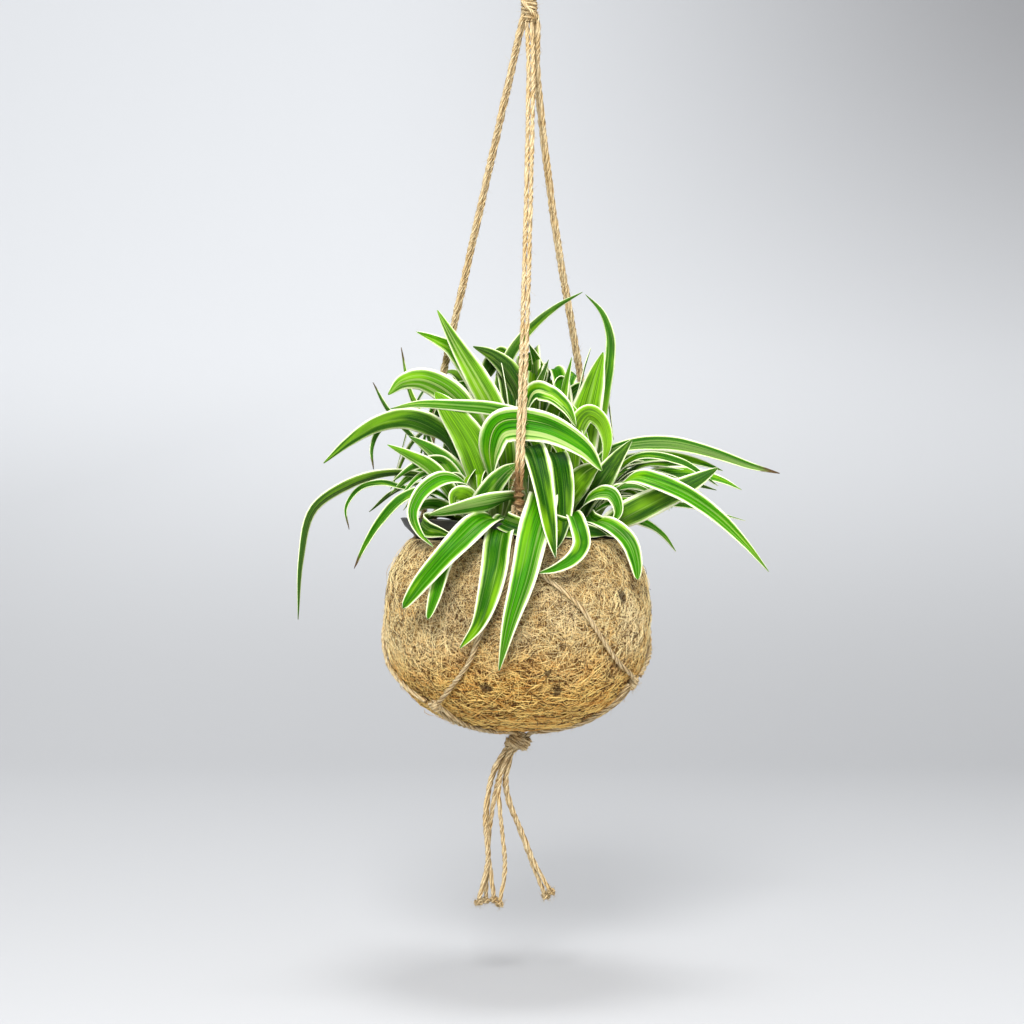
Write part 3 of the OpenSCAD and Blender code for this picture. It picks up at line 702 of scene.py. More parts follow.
def bowlLumps(bearing, z):     # how far the hand-pressed wall stands in or out, in millimetres
    b = np.radians(bearing)
    soft = np.sin(3 * b + 0.03 * z) + 0.8 * np.sin(5 * b - 0.05 * z + 2) + 0.7 * np.sin(0.11 * z + 2 * b)
    across = (bearing - coir["dentBearing"] + 180) % 360 - 180
    down = z - coir["dentHeight"]
    fold = np.exp(-((across + 0.12 * down) / 13) ** 2 - (down / 34) ** 2)
    return -0.45 * np.abs(soft) * 0.8 - coir["dentDepth"] * fold


def bowlSurface(bearing, z, lift=0.0):
    place, normal = smoothBowl(bearing, z)
    stand = bowlLumps(bearing, z) + lift
    return place + normal * np.asarray(stand)[..., None], normal


def makeBowlShell():
    deselectAll()
    bpy.ops.mesh.primitive_uv_sphere_add(segments=coir["around"], ring_count=coir["levels"], radius=1)
    shell = bpy.context.object
    openAt = coir["openAt"]
    editWhole((bpy.ops.mesh.bisect, {"plane_co": (0, 0, openAt), "plane_no": (0, 0, 1), "clear_outer": True}))
    co = pointsOf(shell)
    polar = np.arccos(np.clip(co[:, 2], -1, 1))     # 0 at the top, pi at the bottom
    bearing = np.degrees(np.arctan2(co[:, 1], co[:, 0]))
    t = (polar - math.acos(openAt)) / (math.pi - math.acos(openAt))
    low = bowl["middle"] - bowl["halfHeight"]
    z = low + (0 - low) * (0.5 + 0.5 * np.cos(math.pi * t)) ** 0.92
    movePoints(shell, atRim(bowlSurface(bearing, z, -0.6)[0]))
    solid = shell.modifiers.new("wall", "SOLIDIFY")
    solid.thickness = bowl["wall"] * mm
    solid.offset = -1
    rough = bpy.data.textures.new("mattedFibre", "CLOUDS")
    rough.noise_scale = 0.004
    push = shell.modifiers.new("matted", "DISPLACE")
    push.texture = rough
    push.strength = 1.3 * mm
    push.mid_level = 0.7
    applyModifiers(shell)
    bpy.ops.object.shade_smooth()
    shell.name = "coir_shell"
    return shell


def fibresOnBowl(name, count, rng, looseness):     # short curved fibres lying on the wall
    flat = rng.uniform(0, 1, count)
    z = np.where(rng.uniform(0, 1, count) < 0.9, -127.8 * flat**0.9 + 0.6, 0.4)
    bearing = rng.uniform(-180, 180, count)
    rings = 4
    length = rng.gamma(4, 2.6, count) + 4
    low = np.clip((-z - 70) / 50, 0, 1)     # fibres lie more level low on the bowl
    angle = rng.uniform(-math.pi, math.pi, count)
    level = rng.uniform(0, 1, count) < 0.25 + 0.4 * low
    angle = np.where(level, rng.normal(0, 0.5, count) + math.pi * rng.integers(0, 2, count), angle)
    curve = rng.normal(0, 0.9, count)
    lift = rng.gamma(2.0, 0.13 * looseness, count)
    arch = rng.uniform(0, 0.35 * looseness, count)
    step = length / (rings - 1)
    centres = []
    for i in range(rings):
        z = np.clip(z, -127.9, 0.4)
        rise = lift + arch * math.sin(math.pi * i / (rings - 1)) - (0.5 if i in (0, rings - 1) else 0)
        place, normal = bowlSurface(bearing, z, rise)
        centres.append(place)
        slope = np.clip(np.abs(normal[:, 2]), 0, 0.995)
        bearing = bearing + np.degrees(step * np.cos(angle) / np.maximum(bowlRadius(z), 12))
        z = z + step * np.sin(angle) * np.sqrt(1 - slope**2)
        angle = angle + curve / (rings - 1)
    centre = atRim(np.stack(centres, 1))
    thick = coir["fibreRadius"] * rng.uniform(0.55, 1.4, count) * (1 + 0.75 * low)     # coarser low down
    ahead = unit(np.gradient(centre, axis=1) + 1e-9)
    out = unit(centre - (rimPlace + np.array([0, 0, bowl["middle"] * mm])))
    side = unit(np.cross(ahead, out))
    thick = thick[:, None, None] * np.array([0.4] + [1.0] * (rings - 2) + [0.3])[None, :, None]
    angles = (math.pi / 2, math.pi * 7 / 6, math.pi * 11 / 6)
    tone = rng.uniform(0, 1, count)
    return strandMesh(name, centre, side, np.cross(side, ahead), thick, angles, tone, reverse=True)


coirSpots = [(-105, -95, 4.5), (-71, -97, 4), (-77, -85, 2.5), (-40, -36, 5), (150, -70, 4), (60, -88, 5)]


def makeCoirShades():     # shared by felt and fibres: how low, washed out and stained a place is
    group, result = newGroup("coirShades", {"Low": "Float", "Washed": "Float", "Stain": "Float"})
    where = objectPlace(group)
    uneven = mathNode(group, "MULTIPLY_ADD", noiseNode(group, where, 30, 3), 0.05, -0.025)
    low = spread(group, plus(group, split(group, where)[2], uneven), -0.475, -0.515)
    stain = spread(group, noiseNode(group, where, 120, 4, 0.7), 0.66, 0.74, 0, 0.8)
    ragged = mathNode(group, "MULTIPLY_ADD", noiseNode(group, where, 420, 4, 0.7), 0.014, -0.007)
    for bearing, z, radius in coirSpots:
        away = distanceTo(group, where, atRim(bowlSurface(bearing, z)[0]))
        near = spread(group, plus(group, away, ragged), radius * mm, radius * mm * 0.7)
        stain = mathNode(group, "MAXIMUM", stain, near)
    group.links.new(low, result.inputs["Low"])
    group.links.new(spread(group, noiseNode(group, where, 26, 3), 0.42, 0.62), result.inputs["Washed"])
    group.links.new(stain, result.inputs["Stain"])
    return group


def makeFeltMaterial():
    mat, tree, shader = newMaterial("coirFelt", 0.92, 0.15)
    where = objectPlace(tree)
    layers = []
    for turned in ((0.3, 0, 0.2), (1.2, 0.7, 1.4), (2.3, 1.4, 2.2)):     # three crossing directions of fibre
        layers.append(noiseNode(tree, stretch(tree, where, 0.09, turned), 1500, 2, 0.6))
    weave = mathNode(tree, "MAXIMUM", layers[0], mathNode(tree, "MAXIMUM", layers[1], layers[2]))
    shades = newNode(tree, "ShaderNodeGroup", node_tree=coirShades).outputs
    high = mixColor(tree, spread(tree, weave, 0.5, 0.74), (98, 66, 28), (248, 214, 144))
    deep = mixColor(tree, spread(tree, weave, 0.5, 0.76), (86, 47, 13), (228, 171, 83))
    color = layered(tree, high, (shades["Low"], deep), (times(tree, shades["Stain"], 0.85), (48, 30, 20)))
    paint(tree, shader, color, weave, 0.9, 0.0012)
    return mat


def makeFibreMaterial():
    mat, tree, shader = newMaterial("coirFibre", 0.66, 0.35)
    tone = split(tree, readMap(tree, "along"))[0]
    low, washed, stain = newNode(tree, "ShaderNodeGroup", node_tree=coirShades).outputs
    high = mixColor(tree, spread(tree, tone, 0.1, 0.8), (222, 174, 96), (255, 236, 178))
    deep = mixColor(tree, spread(tree, tone, 0.1, 0.9), (211, 145, 57), (255, 222, 134))
    color = layered(tree, high, (times(tree, washed, 0.45), (255, 238, 192)), (low, deep),
                    (spread(tree, tone, 0.22, 0.19), (76, 42, 12)), (times(tree, stain, 0.8), (62, 40, 24)))
    paint(tree, shader, color, noiseNode(tree, objectPlace(tree), 2500, 2), 0.3, 0.0002)
    return mat


def settleCoir(piece, material):
    wear(piece, material)
    settle(piece, "coir_bowl")


def makeCoirBowl():
    fibre = makeFibreMaterial()
    settleCoir(makeBowlShell(), makeFeltMaterial())
    rng = np.random.default_rng(coir["seed"])
    share = coir["fibres"] // coir["pieces"]
    for k in range(coir["pieces"]):
        settleCoir(fibresOnBowl("coir_fibres_%d" % (k + 1), share, rng, 1.0), fibre)
    settleCoir(fibresOnBowl("coir_loose_fibres", coir["looseFibres"], rng, 3.0), fibre)


coirShades = makeCoirShades()
makeCoirBowl()
print("coir bowl made")


def makePotMaterial():
    mat, tree, shader = newMaterial("potPlastic", 0.48, 0.45)
    where = objectPlace(tree)
    dust = noiseNode(tree, where, 60, 5)
    color = mixColor(tree, spread(tree, dust, 0.5, 0.8, 0, 0.35), (40, 40, 38), (96, 88, 76))
    tree.links.new(spread(tree, dust, 0.3, 0.8, 0.42, 0.7), shader.inputs["Roughness"])
    paint(tree, shader, color, noiseNode(tree, where, 1800, 2), 0.25, 0.0002)
    return mat


soil = {"shift": -5, "top": -4, "radius": 56, "depth": 9, "cells": 90, "crumbs": 1500, "crumbsReach": 55,
        "seed": 3}


def makeSoilMaterial():
    mat, tree, shader = newMaterial("pottingMix", 0.95, 0.1)
    where = objectPlace(tree)
    crumbs = noiseNode(tree, where, 260, 5, 0.7)
    flecks = noiseNode(tree, where, 900, 2)
    color = mixColor(tree, spread(tree, crumbs, 0.35, 0.7), (32, 22, 15), (92, 66, 44))
    color = mixColor(tree, spread(tree, flecks, 0.7, 0.76, 0, 0.6), color, (176, 158, 128))
    paint(tree, shader, color, crumbs, 0.8, 0.002)
    return mat


def makeSoil():
    rng = np.random.default_rng(soil["seed"])
    deselectAll()
    centre = atRim([soil["shift"], 0, soil["top"]])
    bpy.ops.mesh.primitive_grid_add(x_subdivisions=soil["cells"], y_subdivisions=soil["cells"], size=2)
    top = bpy.context.object
    co = pointsOf(top)
    side = np.maximum(np.abs(co[:, 0]), np.abs(co[:, 1]))     # the square is drawn in to a disc
    reach = np.hypot(co[:, 0], co[:, 1])
    scale = np.where(reach > 0, side / np.maximum(reach, 1e-9), 1)
    x, y = co[:, 0] * scale * soil["radius"] * mm, co[:, 1] * scale * soil["radius"] * mm
    bumps = 0.9 * np.sin(x * 410 + 1) * np.sin(y * 380) + 0.6 * np.sin(x * 900) * np.sin(y * 1010 + 2)
    bumps = bumps + rng.uniform(-0.4, 0.4, len(x))
    movePoints(top, centre + np.stack([x, y, bumps * mm], 1))
    solid = top.modifiers.new("depth", "SOLIDIFY")
    solid.thickness = soil["depth"] * mm
    solid.offset = -1
    applyModifiers(top)
    bpy.ops.mesh.primitive_ico_sphere_add(subdivisions=1, radius=1)
    crumb = bpy.context.object
    shape = np.array([v.co[:] for v in crumb.data.vertices])
    tris = np.array([p.vertices[:] for p in crumb.data.polygons])
    bpy.data.objects.remove(crumb)
    count = soil["crumbs"]
    a, r = rng.uniform(0, 2 * math.pi, count), soil["crumbsReach"] * mm * np.sqrt(rng.uniform(0, 1, count))
    size = rng.gamma(3, 0.3, (count, 1, 1)) + 0.3
    shapes = shape[None] * size * rng.uniform(0.6, 1.3, (count, len(shape), 1)) * mm
    places = centre + np.stack([r * np.cos(a), r * np.sin(a), rng.uniform(0, 1.2, count) * mm], 1)
    faces = (tris[None] + (np.arange(count) * len(shape))[:, None, None]).reshape(-1, 3).tolist()
    crumbs = meshFrom("crumbs", (shapes + places[:, None]).reshape(-1, 3), faces)
    piece = join([top, crumbs], "soil")
    wear(piece, makeSoilMaterial())
    settle(piece, "potting_mix")


wear(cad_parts["nursery_pot"], makePotMaterial())
makeSoil()
print("pot and potting mix made")

leafShape = {"across": 10, "along": 46, "thickness": 0.45 * mm, "fold": 0.1, "baseFold": 0.32, "root": 9,
             "ruffle": 0.05, "pathSteps": 200, "backLeaves": 20, "seed": 21}
# how wide the cream margin is, how strong the inner stripes are, dark to young green, how dry the tip is,
# and how fine a point the tip is drawn out to
leafLooks = {
    # the dark look is painted shade: a darker, duller copy of the leaf colours for leaves that lie in the
    # plant's shade
    "plain": (0.17, 0.22, 0.5, 0.15, 0.9), "dark": (0.1, 0.1, 0.08, 0.0, 0.9),
    "young": (0.11, 0.3, 0.9, 0.0, 0.75), "striped": (0.17, 0.7, 0.55, 0.1, 0.8),
    "fresh": (0.14, 0.3, 0.72, 0.0, 0.85), "worn": (0.13, 0.2, 0.35, 1.0, 0.9),
    "round": (0.19, 0.15, 0.55, 0.0, 0.5), "deep": (0.14, 0.12, 0.2, 0.0, 0.85),
}
# each node's leaves: width, roll at base, middle and tip, look, and the midrib from base to tip about the rim
leaves = {
    "top_arch_leaf": [
        (8, [0, -50, -40], "deep", [[-2, 10, 6], [-12, 14, 60], [-12, 12, 104], [-5, 8, 126], [9, 4, 144],
         [26, 0, 158], [44, -4, 168]])],
    "top_twist_leaf": [
        (8, [0, -60, -85], "plain", [[51, 6, 6], [56, 10, 60], [60, 10, 98], [63, 5, 120], [63, -1, 138],
         [57, -6, 154], [46, -8, 166]]),
        (24, [0, -62, -66], "fresh", [[41, 6, 6], [41, 3, 44], [45, -1, 80], [51, -4, 106], [58, -6, 127]])],
    "left_spire_leaves": [
        (18, [10, 40, 50], "fresh", [[-14, 1, 6], [-8, -6, 50], [-15, -12, 84], [-27, -13, 108],
         [-40, -13, 130], [-54, -11, 155]]),
        (12, [0, -60, -80], "fresh", [[-18, 10, 6], [-20, 16, 60], [-30, 14, 104], [-43, 12, 128],
         [-55, 10, 136], [-69, 8, 142]])],
    "middle_spear_leaves": [
        (16, [10, 50, 65], "dark", [[6, 7, 6], [7, 8, 56], [4, 5, 94], [-5, 2, 114], [-17, -2, 125],
         [-30, -6, 131]]),
        (12, [0, 80, 90], "dark", [[12, 23, 6], [23, 28, 60], [21, 23, 100], [14, 18, 122], [8, 15, 134]]),
        (15, [0, -60, -70], "dark", [[1, 11, 6], [-5, 25, 56], [-13, 27, 88], [-25, 25, 110],
         [-38, 22, 119]]),
        (15, [0, 60, 70], "dark", [[16, 8, 6], [22, 11, 54], [30, 17, 86], [41, 22, 103], [52, 24, 105]]),
        (9, [0, 38, 38], "dark", [[15, 0, 6], [10, -2, 60], [12, -4, 96], [21, -6, 122]])],
    "right_spear_leaves": [
        (10, [0, 12, 12], "fresh", [[33, 6, 6], [32, 8, 60], [31, 4, 96], [37, 0, 124]]),
        (11, [0, -60, -70], "plain", [[38, 9, 6], [38, 19, 70], [44, 16, 108], [50, 12, 131]]),
        (10, [0, 50, 54], "plain", [[46, 9, 6], [50, 14, 76], [53, 15, 112], [58, 15, 127]])],
    "left_broad_leaves": [
        (21, [0, 60, 65], "fresh", [[-23, 7, 6], [-22, 3, 50], [-29, 0, 78], [-45, -1, 98], [-63, -1, 108],
         [-78, 2, 107], [-88, 6, 99]]),
        (15, [0, -50, -60], "plain", [[-12, 8, 6], [-10, 22, 60], [-20, 20, 90], [-34, 20, 104],
         [-46, 26, 107]]),
        (10, [0, 70, 80], "plain", [[13, -8, 6], [16, -20, 50], [4, -28, 80], [-14, -31, 87], [-42, -29, 90],
         [-66, -27, 91], [-85, -25, 88]])],
    "left_sweep_leaf": [
        (17, [0, 60, 60], "deep", [[-28, 2, 6], [-35, 0, 40], [-46, -4, 66], [-60, -7, 77], [-76, -8, 82],
         [-95, -8, 78], [-113, -8, 67], [-131, -8, 52]])],
    "left_thin_leaves": [
        (7, [0, 60, 60], "worn", [[-26, 8, 6], [-46, 12, 60], [-66, 10, 84], [-84, 8, 83], [-94, 6, 75],
         [-99, 4, 62], [-98, 4, 48]]),
        (6, [0, 60, 60], "worn", [[-29, -2, 6], [-53, 4, 50], [-65, 4, 82], [-74, 4, 104], [-79, 4, 131]]),
        (5, [0, 60, 60], "worn", [[-29, 8, 6], [-62, 26, 58], [-88, 18, 88], [-99, 16, 108]])],
    "left_short_leaves": [
        (11, [0, 60, 65], "fresh", [[-26, -6, 6], [-38, -14, 22], [-51, -20, 41], [-61, -22, 51],
         [-74, -24, 58], [-87, -24, 64]]),
        (14, [0, 55, 60], "plain", [[-25, -2, 6], [-34, -7, 28], [-45, -11, 49], [-58, -13, 61],
         [-73, -13, 70]]),
        (9, [0, 50, 70], "plain", [[-31, -9, 6], [-42, -22, 18], [-54, -29, 24], [-66, -33, 22],
         [-72, -35, 12]])],
    "left_long_leaf": [
        (10, [0, 40, 60], "deep", [[-32, -1, 6], [-44, 0, 30], [-62, 2, 42], [-86, 2, 45], [-113, 0, 38],
         [-139, 0, 20], [-147, 0, -14], [-149, 0, -54]])],
    "left_trailing_leaves": [
        (5, [0, -60, -70], "worn", [[-34, 4, 6], [-56, 9, 28], [-80, 10, 36], [-94, 11, 39], [-108, 10, 35],
         [-117, 10, 22], [-115, 10, 7]]),
        (8, [0, -60, -70], "worn", [[-31, -8, 6], [-48, -11, 27], [-63, -12, 33], [-79, -14, 27],
         [-93, -14, 12], [-103, -14, -4], [-110, -14, -19]])],
    "left_curl_leaf": [
        (11, [20, -70, -75], "plain", [[-27, -12, 6], [-28, -24, 22], [-36, -34, 38], [-49, -44, 41],
         [-62, -50, 33], [-69, -53, 19], [-65, -56, 6], [-55, -58, -4]])],
    "left_inner_leaves": [
        (24, [0, 40, 50], "young", [[-19, -6, 6], [-19, -18, 28], [-25, -25, 50], [-34, -27, 70],
         [-46, -27, 88], [-55, -27, 99]]),
        (12, [20, 60, 90], "young", [[-23, -13, 6], [-27, -32, 20], [-34, -44, 30], [-42, -49, 29],
         [-41, -52, 16]])],
    "front_cross_leaves": [
        (14, [0, 70, 85], "plain", [[-9, -4, 6], [0, -36, 26], [-4, -60, 28], [-18, -70, 25], [-34, -74, 22],
         [-48, -74, 19], [-58, -72, 17]]),
        (15, [0, -45, -50], "plain", [[-21, -15, 6], [-26, -38, 20], [-18, -52, 34], [-8, -58, 45],
         [1, -60, 51]])],
    "front_left_leaves": [
        (18, [0, -25, -35], "round", [[-9, -10, 6], [-14, -50, 14], [-24, -77, 12.5], [-40, -92, -2],
         [-59, -92, -23], [-74, -84, -43]]),
        (12, [0, -25, -35], "round", [[-17, -9, 6], [-28, -46, 9], [-38, -70, 5], [-47, -86, -12],
         [-53, -88, -34], [-58, -88, -50]])],
    "front_drop_leaf": [
        (19, [0, 0, -10], "deep", [[-4, -11, 6], [-6, -38, 15], [-9, -62, 11], [-12, -82, 1],
         [-15, -94, -18], [-20, -98, -38], [-26, -99, -54], [-37, -96, -68]])],
    "front_long_leaf": [
        (21, [0, 0, -5], "plain", [[7, -12, 6], [16, -48, 28], [16, -74, 24], [10, -92, 6], [3, -101, -24],
         [-5, -104, -52], [-12, -101, -82]])],
    "front_ribbon_leaves": [
        (17, [0, 5, 5], "deep", [[11, -8, 6], [8, -32, 46], [8, -46, 62], [12, -62, 54], [17, -83, 30],
         [21, -98, 6], [24, -103, -10]]),
        (16, [0, 8, 5], "deep", [[29, -5, 6], [23, -30, 46], [24, -44, 58], [28, -56, 48], [30, -66, 24],
         [28, -73, 6], [24, -76, -6]])],
    "front_arch_leaves": [
        (25, [50, 122, 118], "striped", [[-14, -14, 6], [-15, -38, 38], [-16, -49, 62], [-8, -54, 76],
         [18, -58, 74], [42, -60, 61], [55, -61, 46]]),
        (15, [0, 90, 92], "striped", [[4, -7, 6], [3, -16, 58], [9, -22, 96], [21, -24, 98], [32, -26, 89],
         [39, -28, 76]])],
    "right_long_leaf": [
        (12, [0, 60, 70], "worn", [[45, -2, 6], [49, -4, 40], [60, -8, 57], [78, -10, 64], [104, -12, 65],
         [130, -14, 59], [156, -16, 50], [176, -18, 45]])],
    "right_side_leaves": [
        (10, [0, 60, 70], "plain", [[50, 1, 6], [58, 2, 34], [70, 2, 50], [87, 0, 56], [106, -2, 56],
         [125, -3, 52], [139, -4, 47]]),
        (11, [0, 60, 70], "plain", [[51, -5, 6], [61, -6, 26], [76, -7, 38], [94, -8, 44], [117, -9, 45],
         [136, -10, 41], [151, -12, 34]])],
    "right_wide_leaf": [
        (19, [0, -60, -66], "deep", [[47, -13, 6], [57, -30, 6], [68, -40, 14], [86, -45, 24],
         [104, -47, 33], [120, -47, 41], [132, -47, 48]])],
    "right_droop_leaves": [
        (13, [0, 55, 60], "plain", [[50, -8, 6], [64, -34, 30], [76, -52, 41], [90, -60, 39], [111, -62, 30],
         [131, -62, 16], [148, -62, -1], [164, -62, -20]]),
        (5, [0, 60, 60], "plain", [[53, 4, 6], [74, 10, 20], [92, 12, 24], [110, 12, 24], [130, 12, 20],
         [156, 12, 13]])],
    "right_fan_leaves": [
        (8, [0, 60, 70], "plain", [[47, -10, 6], [53, -23, 24], [62, -30, 33], [77, -33, 36],
         [92, -35, 31]]),
        (7, [0, 60, 70], "plain", [[44, -13, 6], [51, -29, 18], [62, -37, 25], [76, -40, 26],
         [89, -39, 20]]),
        (9, [0, 40, 60], "plain", [[53, -6, 6], [68, -4, 12], [84, 0, 12], [98, 4, 4], [108, 6, -8]])],
    "right_low_leaves": [
        (13, [0, 40, 45], "round", [[41, -15, 6], [47, -40, 12], [56, -54, 12], [65, -62, 7], [73, -66, -2],
         [77, -68, -14], [78, -69, -25]]),
        (11, [20, 80, 85], "plain", [[39, -12, 6], [45, -38, 24], [53, -47, 31], [62, -51, 30],
         [66, -52, 19], [60, -50, 9]]),
        (12, [0, 5, -10], "plain", [[33, -11, 6], [35, -56, 18], [39, -80, 10], [41, -90, -2],
         [35, -94, -11], [24, -96, -17], [13, -98, -20]])],
    "right_inner_leaves": [
        (13, [0, -60, -90], "young", [[35, -1, 6], [38, -10, 50], [40, -15, 74], [47, -18, 85],
         [56, -20, 80], [60, -22, 66], [57, -24, 50]]),
        (17, [0, -55, -59], "deep", [[41, -9, 6], [46, -21, 26], [54, -30, 38], [64, -33, 52],
         [76, -34, 67]]),
        (18, [0, -28, -33], "young", [[30, -7, 6], [32, -30, 24], [38, -38, 36], [46, -44, 45],
         [54, -47, 50]])],
}
backCrowns = [[-14, 30, 0], [22, 28, 0]]


def towards(bearing):
    return np.array([math.cos(bearing), math.sin(bearing), 0])


def archedMidrib(start, out, reach, rise, shape):     # out from start through shares of reach and rise
    return [start + out * reach * far + np.array([0, 0, rise * high]) for far, high in shape]


def backLeaf(i):     # the leaves behind fan out from the two back crowns by rule
    left = i < 12
    middle = 124 if left else 76
    bearing = 90 + 6.2 * i if left else 52 + 6.2 * (i - 12)
    tier = i % 3
    foot = math.radians(middle + (bearing - middle) * (1.2 + 0.9 * tier))
    start = np.array(backCrowns[0 if left else 1]) + towards(foot) * (12 - 3 * tier) + [0, 0, 6]
    reach = 96 - 15 * tier + 6 * math.sin(math.radians(137 * i))
    rise = 38 + 33 * tier + 5 * math.cos(math.radians(101 * i))
    shape = ((0, 0), (0.1, 0.6), (0.38, 1), (0.74, 0.86), (1, 0.4))
    midrib = archedMidrib(start, towards(math.radians(bearing)), reach, rise, shape)
    roll = [0, 25 * math.sin(math.radians(60 * i)), 40 * math.cos(math.radians(80 * i))]
    # the dark look among these is painted shade
    look = ("plain", "dark", "striped", "dark", "plain", "worn")[i * 5 % 6]
    return "back_leaves_%d" % (i % 4 + 1), 10 + 3 * math.sin(math.radians(77 * i)), roll, look, midrib


# inner leaves by rule: node, crown, first and last bearing, count, reach, rise, width, look, droop of the tip
tufts = [
    ("right_fan_leaves", (41, -2), -24, 44, 11, 80, 42, 8, "deep", 0.0),
    ("right_fan_leaves", (41, -2), -24, 14, 6, 52, 30, 8, "fresh", 0.1),
    ("right_inner_leaves", (41, -2), 40, 150, 5, 30, 92, 12, "plain", 0.0),
    ("middle_spear_leaves", (6.7, -1), 25, 165, 8, 34, 104, 17, "dark", 0.0),
    ("middle_spear_leaves", (6.7, -1), -60, 10, 4, 34, 74, 12, "young", 0.0),
    ("left_inner_leaves", (-21, -1), 50, 160, 6, 40, 84, 14, "dark", 0.0),
    ("left_short_leaves", (-21, -1), 165, 215, 5, 52, 40, 9, "plain", 0.0),
    ("front_cross_leaves", (-21, -1), -125, -70, 3, 26, 34, 11, "young", 0.0),
    ("front_ribbon_leaves", (6.7, -1), -140, -60, 4, 24, 40, 10, "dark", 0.0),
]


def tuftLeaf(row, k):
    node, centre, first, last, count, reach, rise, width, look, droop = row
    out = towards(math.radians(first + (last - first) * (k + 0.5) / count))
    far = reach * (1 + 0.16 * math.sin(2.4 * k + first))
    high = rise * (1 + 0.2 * math.cos(1.7 * k + last))
    start = np.array([centre[0], centre[1], 6]) + out * (7 + 3 * (k % 2))
    tip = 0.6 + 0.25 * math.sin(3 * k) - droop
    shape = ((0, 0), (0.12, 0.55), (0.38, 0.98), (0.72, 0.92 - 0.2 * droop), (1, tip))
    twist = math.sin(1.9 * k + first) * (1 - 0.6 * min(droop, 1))
    roll = [0, 50 * twist, 70 * twist]
    return node, width * (1 + 0.2 * math.sin(5 * k)), roll, look, archedMidrib(start, out, far, high, shape)


# leaves that lie along the front of the rim: node, crown, first and last bearing, width
rimLeaves = [
    ("front_left_leaves", (-21, -1), -142, -118, 13), ("front_ribbon_leaves", (6.7, -1), -93, -62, 13),
    ("right_low_leaves", (41, -2), -71, -36, 14), ("right_low_leaves", (41, -2), -42, -8, 12),
]


def onRim(bearing, reach, z):
    return towards(math.radians(bearing)) * reach + [-5, 0, z]


def rimLeaf(node, centre, first, last, width):
    crownAt = np.array([centre[0], centre[1], 0])
    start = crownAt + [0, 0, 6] + unit(onRim(first, 79, 0) - crownAt) * 9
    lip = onRim(first, 73, 13)
    midrib = [start, start * 0.45 + lip * 0.55 + [0, 0, 6], lip]
    for share, reach, z in ((0.35, 78.5, 8), (0.7, 79, 6), (1, 79, 4)):
        midrib.append(onRim(first + (last - first) * share, reach, z))
    # painted shade: the rim leaves take the dark look, as they lie in shade
    return node, width, [0, 50, 75], "dark", midrib


def leafWidth(t, tip):     # narrow at the crown, widest before the middle and drawn out to a point
    rising = 0.42 + 0.58 * np.sin(np.radians(225 * np.minimum(t, 0.4)))
    falling = 0.04 + 0.96 * np.maximum(np.cos(np.radians(90 * (np.maximum(t, 0.4) - 0.4) / 0.6)), 0) ** tip
    return np.where(t < 0.4, rising, falling)


def makeLeaf(width, roll, look, midrib, rng):
    shape = leafShape
    deselectAll()
    bpy.ops.mesh.primitive_grid_add(x_subdivisions=shape["across"], y_subdivisions=shape["along"], size=2,
                                    calc_uvs=False)
    leaf = bpy.context.object
    flatSheet = pointsOf(leaf)
    across, along = flatSheet[:, 0], (flatSheet[:, 1] + 1) / 2
    steps = shape["pathSteps"]
    path = smoothPath(midrib, steps)
    ahead = directionsAlong(path)
    reach = path[int(steps * 8 / 13)] - path[0]
    level = carriedSides(ahead, np.cross([reach[0], reach[1], 0], [0, 0, 1.0]))
    f = np.linspace(0, 1, steps + 1)
    phase = rng.uniform(0, 2 * math.pi, 4)
    angle = np.radians(np.interp(f, [0, 0.5, 1], roll) + 5 * np.sin(7 * f + phase[0]) * np.sin(math.pi * f))
    side = level * np.cos(angle)[:, None] + np.cross(ahead, level) * np.sin(angle)[:, None]
    up = np.cross(side, ahead)
    root = shape["root"] / (lengthsAlong(path)[-1] + shape["root"])     # the share that is in the crown
    t = np.clip((along - root) / (1 - root), 0, 1)
    sunk = np.clip((root - along) / root, 0, 1)
    margin, stripes, tone, dry, tip = leafLooks[look]
    half = width * leafWidth(t, tip) / 2 * (1 - 0.25 * sunk)
    half = half * (1 + 0.05 * np.sin(9 * t + phase[1]) * np.sign(across))
    fold = shape["fold"] + (shape["baseFold"] - shape["fold"]) * np.clip(1 - t / 0.35, 0, 1) ** 1.5
    ruffle = shape["ruffle"] * np.sin(17 * t + phase[2] + 1.3 * np.sign(across)) * across**2
    ruffle = ruffle * np.sin(math.pi * t)
    rib = 0.12 * np.exp(-((across * half) / 0.9) ** 2)
    lift = half * 2 * (fold * np.abs(across) ** 1.25 + ruffle) - rib
    down = np.array([0, 0, -1.0]) * sunk[:, None] * shape["root"]
    place = readAt(t, f, path) + down + readAt(t, f, side) * (across * half)[:, None]
    movePoints(leaf, atRim(place + readAt(t, f, up) * lift[:, None]))
    mapPoints(leaf.data, "leafMap", np.stack([(across + 1) / 2, along], 1))
    margin = margin * rng.uniform(0.8, 1.25)
    stripes = stripes * rng.uniform(0.6, 1)
    values = [margin, stripes, tone + rng.uniform(-0.14, 0.14), dry]
    looks = leaf.data.attributes.new("leafLook", "FLOAT_COLOR", "POINT")
    looks.data.foreach_set("color", np.tile(values, len(across)).astype(np.float32))
    body = leaf.modifiers.new("thickness", "SOLIDIFY")
    body.thickness = shape["thickness"]
    body.offset = 0
    body.material_offset = 1
    body.material_offset_rim = 0
    leaf.data.materials.append(leafFace)
    leaf.data.materials.append(leafBack)
    applyModifiers(leaf)
    bpy.ops.object.shade_smooth()
    return leaf


def streaks(group, where, wide, long, shift, detail):     # noise drawn out along each leaf
    across, along, tone = where
    place = combine(group, times(group, across, wide), times(group, along, long), times(group, tone, shift))
    return noiseNode(group, place, 1.0, detail)


